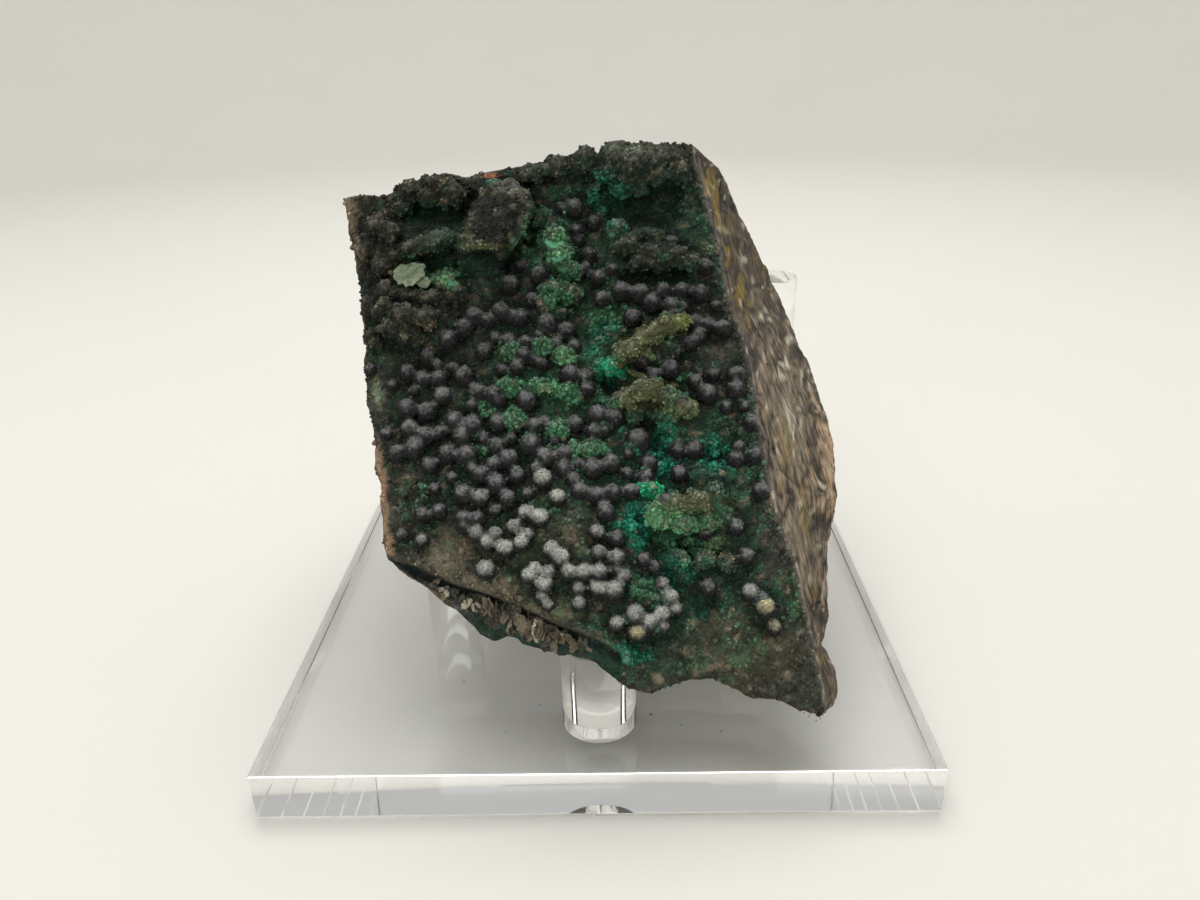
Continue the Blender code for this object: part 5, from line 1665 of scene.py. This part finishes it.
@dataclass
class Crumbs:
    """Crumbs of the stone that have fallen on the plate."""

    rusty: tuple[Row, ...] = (
        (33.4, -38.6, 0.26), (34.2, -39.2, 0.2), (32.9, -37.9, 0.16), (34.6, -39.9, 0.14),
        (33.0, -39.3, 0.12), (33.9, -40.3, 0.12), (35.2, -39.2, 0.1), (32.4, -38.5, 0.1),
    )
    dark: tuple[Row, ...] = (
        (8.5, -38.5, 0.16), (13.0, -41.0, 0.12), (-9.0, -36.0, 0.12), (-22.0, -30.0, 0.12),
        (4.0, -43.5, 0.10), (19.0, -42.5, 0.12), (-14.0, -42.0, 0.10), (30.5, -28.0, 0.12),
    )

    def build(self) -> Piece:
        """Scatters the crumbs.

        Returns:
            The crumbs, as one object.
        """
        rows = np.array(self.rusty + self.dark)
        rng = np.random.default_rng(3)
        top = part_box("base_plate")[1][2]
        spots = np.column_stack([rows[:, :2] * MM, top + rows[:, 2] * 0.6 * MM])
        turns = np.linalg.qr(rng.normal(size=(len(rows), 3, 3)))[0]
        obj = copies("plate_crumbs", unit_ball(1), spots, turns * rows[:, 2, None, None] * MM)
        each = len(obj.data.vertices) // len(rows)
        tints = [Tint.RUST.value] * len(self.rusty) + [Tint.KNOB.value] * len(self.dark)
        paint(obj.data, np.column_stack([np.repeat(tints, each, axis=0), np.ones(each * len(rows))]))
        face_out(obj.data)
        obj.data.materials.append(StoneFinish("crumb_finish").make())
        smooth(obj, False)
        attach(obj, "root")
        return obj


def tints_of(mesh: bpy.types.Mesh) -> Array:
    """Red, green, blue and dullness at a mesh's points, one row each."""
    found = np.empty(len(mesh.vertices) * 4)
    mesh.color_attributes["stone_tint"].data.foreach_get("color", found)
    return found.reshape(-1, 4)


def keep_inside(mesh: bpy.types.Mesh, places: Array) -> None:
    """Moves a mesh's points to new places, none of them above the frame's box."""
    places[:, 2] = np.minimum(places[:, 2], CAD_BOX[1][2])
    mesh.vertices.foreach_set("co", places.reshape(-1))
    mesh.update()


def face_out(mesh: bpy.types.Mesh) -> None:
    """Turns all faces of a mesh of closed bodies outwards."""
    bm = bmesh.new()
    bm.from_mesh(mesh)
    bmesh.ops.recalc_face_normals(bm, faces=bm.faces)
    bm.to_mesh(mesh)
    bm.free()


@dataclass
class Stand:
    """The clear plate and its three round pegs."""

    edge: float = 0.2
    peg_edge: float = 0.35
    sink: float = 0.25
    dry_gap: float = 0.02
    bonded: tuple[str, ...] = ("front_peg",)
    sides: int = 96

    @staticmethod
    def pegs() -> Pegs:
        """Reads x, y, radius and top of each peg, in metres, from the frame."""
        found = {}
        for name in ("front_peg", "back_peg_left", "back_peg_right"):
            low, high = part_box(name)
            found[name] = ((low[0] + high[0]) / 2, (low[1] + high[1]) / 2, (high[1] - low[1]) / 2, high[2])
        return found

    def plate(self) -> Piece:
        """Builds the plate, with fine polished edges."""
        low, high = (Vector(corner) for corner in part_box("base_plate"))
        bm = bmesh.new()
        place = Matrix.Translation((low + high) / 2) @ Matrix.Diagonal((*(high - low), 1.0))
        bmesh.ops.create_cube(bm, size=1.0, matrix=place)
        bmesh.ops.bevel(
            bm, geom=list(bm.edges), offset=self.edge * MM, offset_type="OFFSET", affect="EDGES",
            segments=2, profile=0.5, material=-1,
        )
        obj = as_object("clear_plate", bm)
        obj.data.materials.append(ClearFinish("plate_clear").make())
        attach(obj, "root")
        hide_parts("base_plate")
        return obj

    def peg(self, name: str, x: float, y: float, radius: float, top: float) -> Piece:
        """Builds one peg with a slightly eased top edge, let into the plate where it is bonded to it.

        Args:
            name: the frame's name for it.
            x: its axis, across.
            y: its axis, back.
            radius: its radius.
            top: height of its top.

        Returns:
            The peg.
        """
        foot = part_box("base_plate")[1][2] - (self.sink if name in self.bonded else -self.dry_gap) * MM
        bm = bmesh.new()
        made = bmesh.ops.create_circle(bm, cap_ends=True, segments=self.sides, radius=radius)
        bmesh.ops.translate(bm, verts=made["verts"], vec=(x, y, foot))
        face = bm.faces[:]
        raised = bmesh.ops.extrude_face_region(bm, geom=face)["geom"]
        tops = [item for item in raised if isinstance(item, bmesh.types.BMVert)]
        bmesh.ops.translate(bm, verts=tops, vec=(0, 0, top - foot))
        bmesh.ops.recalc_face_normals(bm, faces=bm.faces)
        rim = [edge for edge in bm.edges if all(vert in tops for vert in edge.verts)]
        bmesh.ops.bevel(
            bm, geom=rim, offset=self.peg_edge * MM, offset_type="OFFSET", affect="EDGES",
            segments=3, profile=0.5, material=-1,
        )
        obj = as_object("clear_" + name, bm)
        for polygon in obj.data.polygons:
            polygon.use_smooth = abs(polygon.normal.z) < 0.99
        obj.data.materials.append(ClearFinish(name + "_clear").make())
        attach(obj, "root")
        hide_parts(name)
        return obj


@dataclass
class Studio:
    """A pale round sweep, soft lights and the camera."""

    floor_radius: float = 0.75
    curve: float = 0.35
    wall: float = 0.9
    air_gap: float = 0.0003

    def sweep(self) -> Piece:
        """Builds the floor, which curves up into a backdrop all round."""
        bm = bmesh.new()
        profile = [(0.0, 0.0), (self.floor_radius, 0.0)]
        for step in range(1, 13):
            angle = math.radians(90 * step / 12)
            profile.append(
                (self.floor_radius + self.curve * math.sin(angle), self.curve * (1 - math.cos(angle)))
            )
        profile.append((self.floor_radius + self.curve, self.wall))
        verts = [bm.verts.new((x, 0.0, z - self.air_gap)) for x, z in profile]
        edges = [bm.edges.new(pair) for pair in zip(verts, verts[1:])]
        bmesh.ops.spin(
            bm, geom=verts + edges, cent=(0, 0, 0), axis=(0, 0, 1), angle=math.tau, steps=96,
            use_merge=True,
        )
        bmesh.ops.remove_doubles(bm, verts=bm.verts, dist=1e-5)
        bmesh.ops.recalc_face_normals(bm, faces=bm.faces)
        floor = as_object("studio_sweep", bm)
        if floor.data.polygons[0].normal.z < 0:
            floor.data.flip_normals()
        smooth(floor)
        floor.data.materials.append(SweepFinish().make())
        return floor

    @staticmethod
    def light(name: str, place: Row, target: Row, size: float, power: float, colour: Row) -> None:
        """Adds one soft square light.

        Args:
            name: its name.
            place: where it hangs.
            target: where it points.
            size: its side.
            power: its power in watts.
            colour: its colour.
        """
        lamp = bpy.data.lights.new(name, "AREA")
        lamp.shape = "SQUARE"
        lamp.size = size
        lamp.energy = power
        lamp.color = colour
        obj = bpy.data.objects.new(name, lamp)
        obj.location = place
        obj.rotation_euler = (Vector(target) - Vector(place)).to_track_quat("-Z", "Y").to_euler()
        bpy.context.scene.collection.objects.link(obj)

    def lights(self) -> None:
        """Sets the soft lights and the pale surroundings."""
        self.light("top_softbox", (0.0, 0.10, 0.80), (0.0, 0.0, 0.0), 0.70, 4.8, (1.0, 0.985, 0.96))
        self.light("front_fill", (-0.25, -0.75, 0.55), (0.0, 0.0, 0.05), 0.5, 2.0, (1.0, 0.99, 0.97))
        self.light("back_wash", (0.0, 0.35, 1.05), (0.0, 1.1, 0.55), 0.5, 1.2, (1.0, 0.99, 0.97))
        world = bpy.data.worlds.new("studio_air")
        world.use_nodes = True
        back = world.node_tree.nodes["Background"]
        back.inputs["Color"].default_value = (0.98, 0.975, 0.96, 1.0)
        back.inputs["Strength"].default_value = 0.48
        scene = bpy.context.scene
        scene.world = world
        scene.view_settings.view_transform = "Standard"
        scene.cycles.max_bounces = 24
        scene.cycles.glossy_bounces = 16
        scene.cycles.transmission_bounces = 16

    @staticmethod
    def camera() -> Piece:
        """Sets the camera in front, a little above, looking down at the stone."""
        lens = bpy.data.cameras.new("camera")
        lens.sensor_width = SENSOR
        lens.lens = LENS
        lens.clip_start = 0.001
        obj = bpy.data.objects.new("camera", lens)
        obj.matrix_world = Matrix(CAMERA_FRAME)
        bpy.context.scene.collection.objects.link(obj)
        bpy.context.scene.camera = obj
        return obj


def main() -> None:
    """Builds every piece in order and reports each one."""
    logging.basicConfig(level=logging.INFO, format="%(name)s: %(message)s")
    studio = Studio()
    studio.camera()
    studio.lights()
    studio.sweep()
    stand = Stand()
    pieces = [stand.plate()]
    pegs = stand.pegs()
    pieces += [stand.peg(name, *place) for name, place in pegs.items()]
    stone = Specimen().build(pegs)
    pieces.append(stone)
    for grains in (
        Grains("druse_grains", Ground.CRUST, 9400, (0.12, 0.30), shades=(0.35, 2.4)),
        Grains("ball_grains", Ground.BALLS, 9400, (0.08, 0.19), shades=(0.6, 1.6), seed=31),
        Grains("crust_beads", Ground.CRUST, 3000, (0.2, 0.46), True, 0.06, 0.1, (0.7, 1.5), 41),
    ):
        pieces.append(grains.build(stone))
    pieces.append(Flakes().build())
    pieces.append(Crumbs().build())
    for piece in pieces:
        LOG.info("%s: %d faces", piece.name, len(piece.data.polygons))


if __name__ == "__main__":
    main()
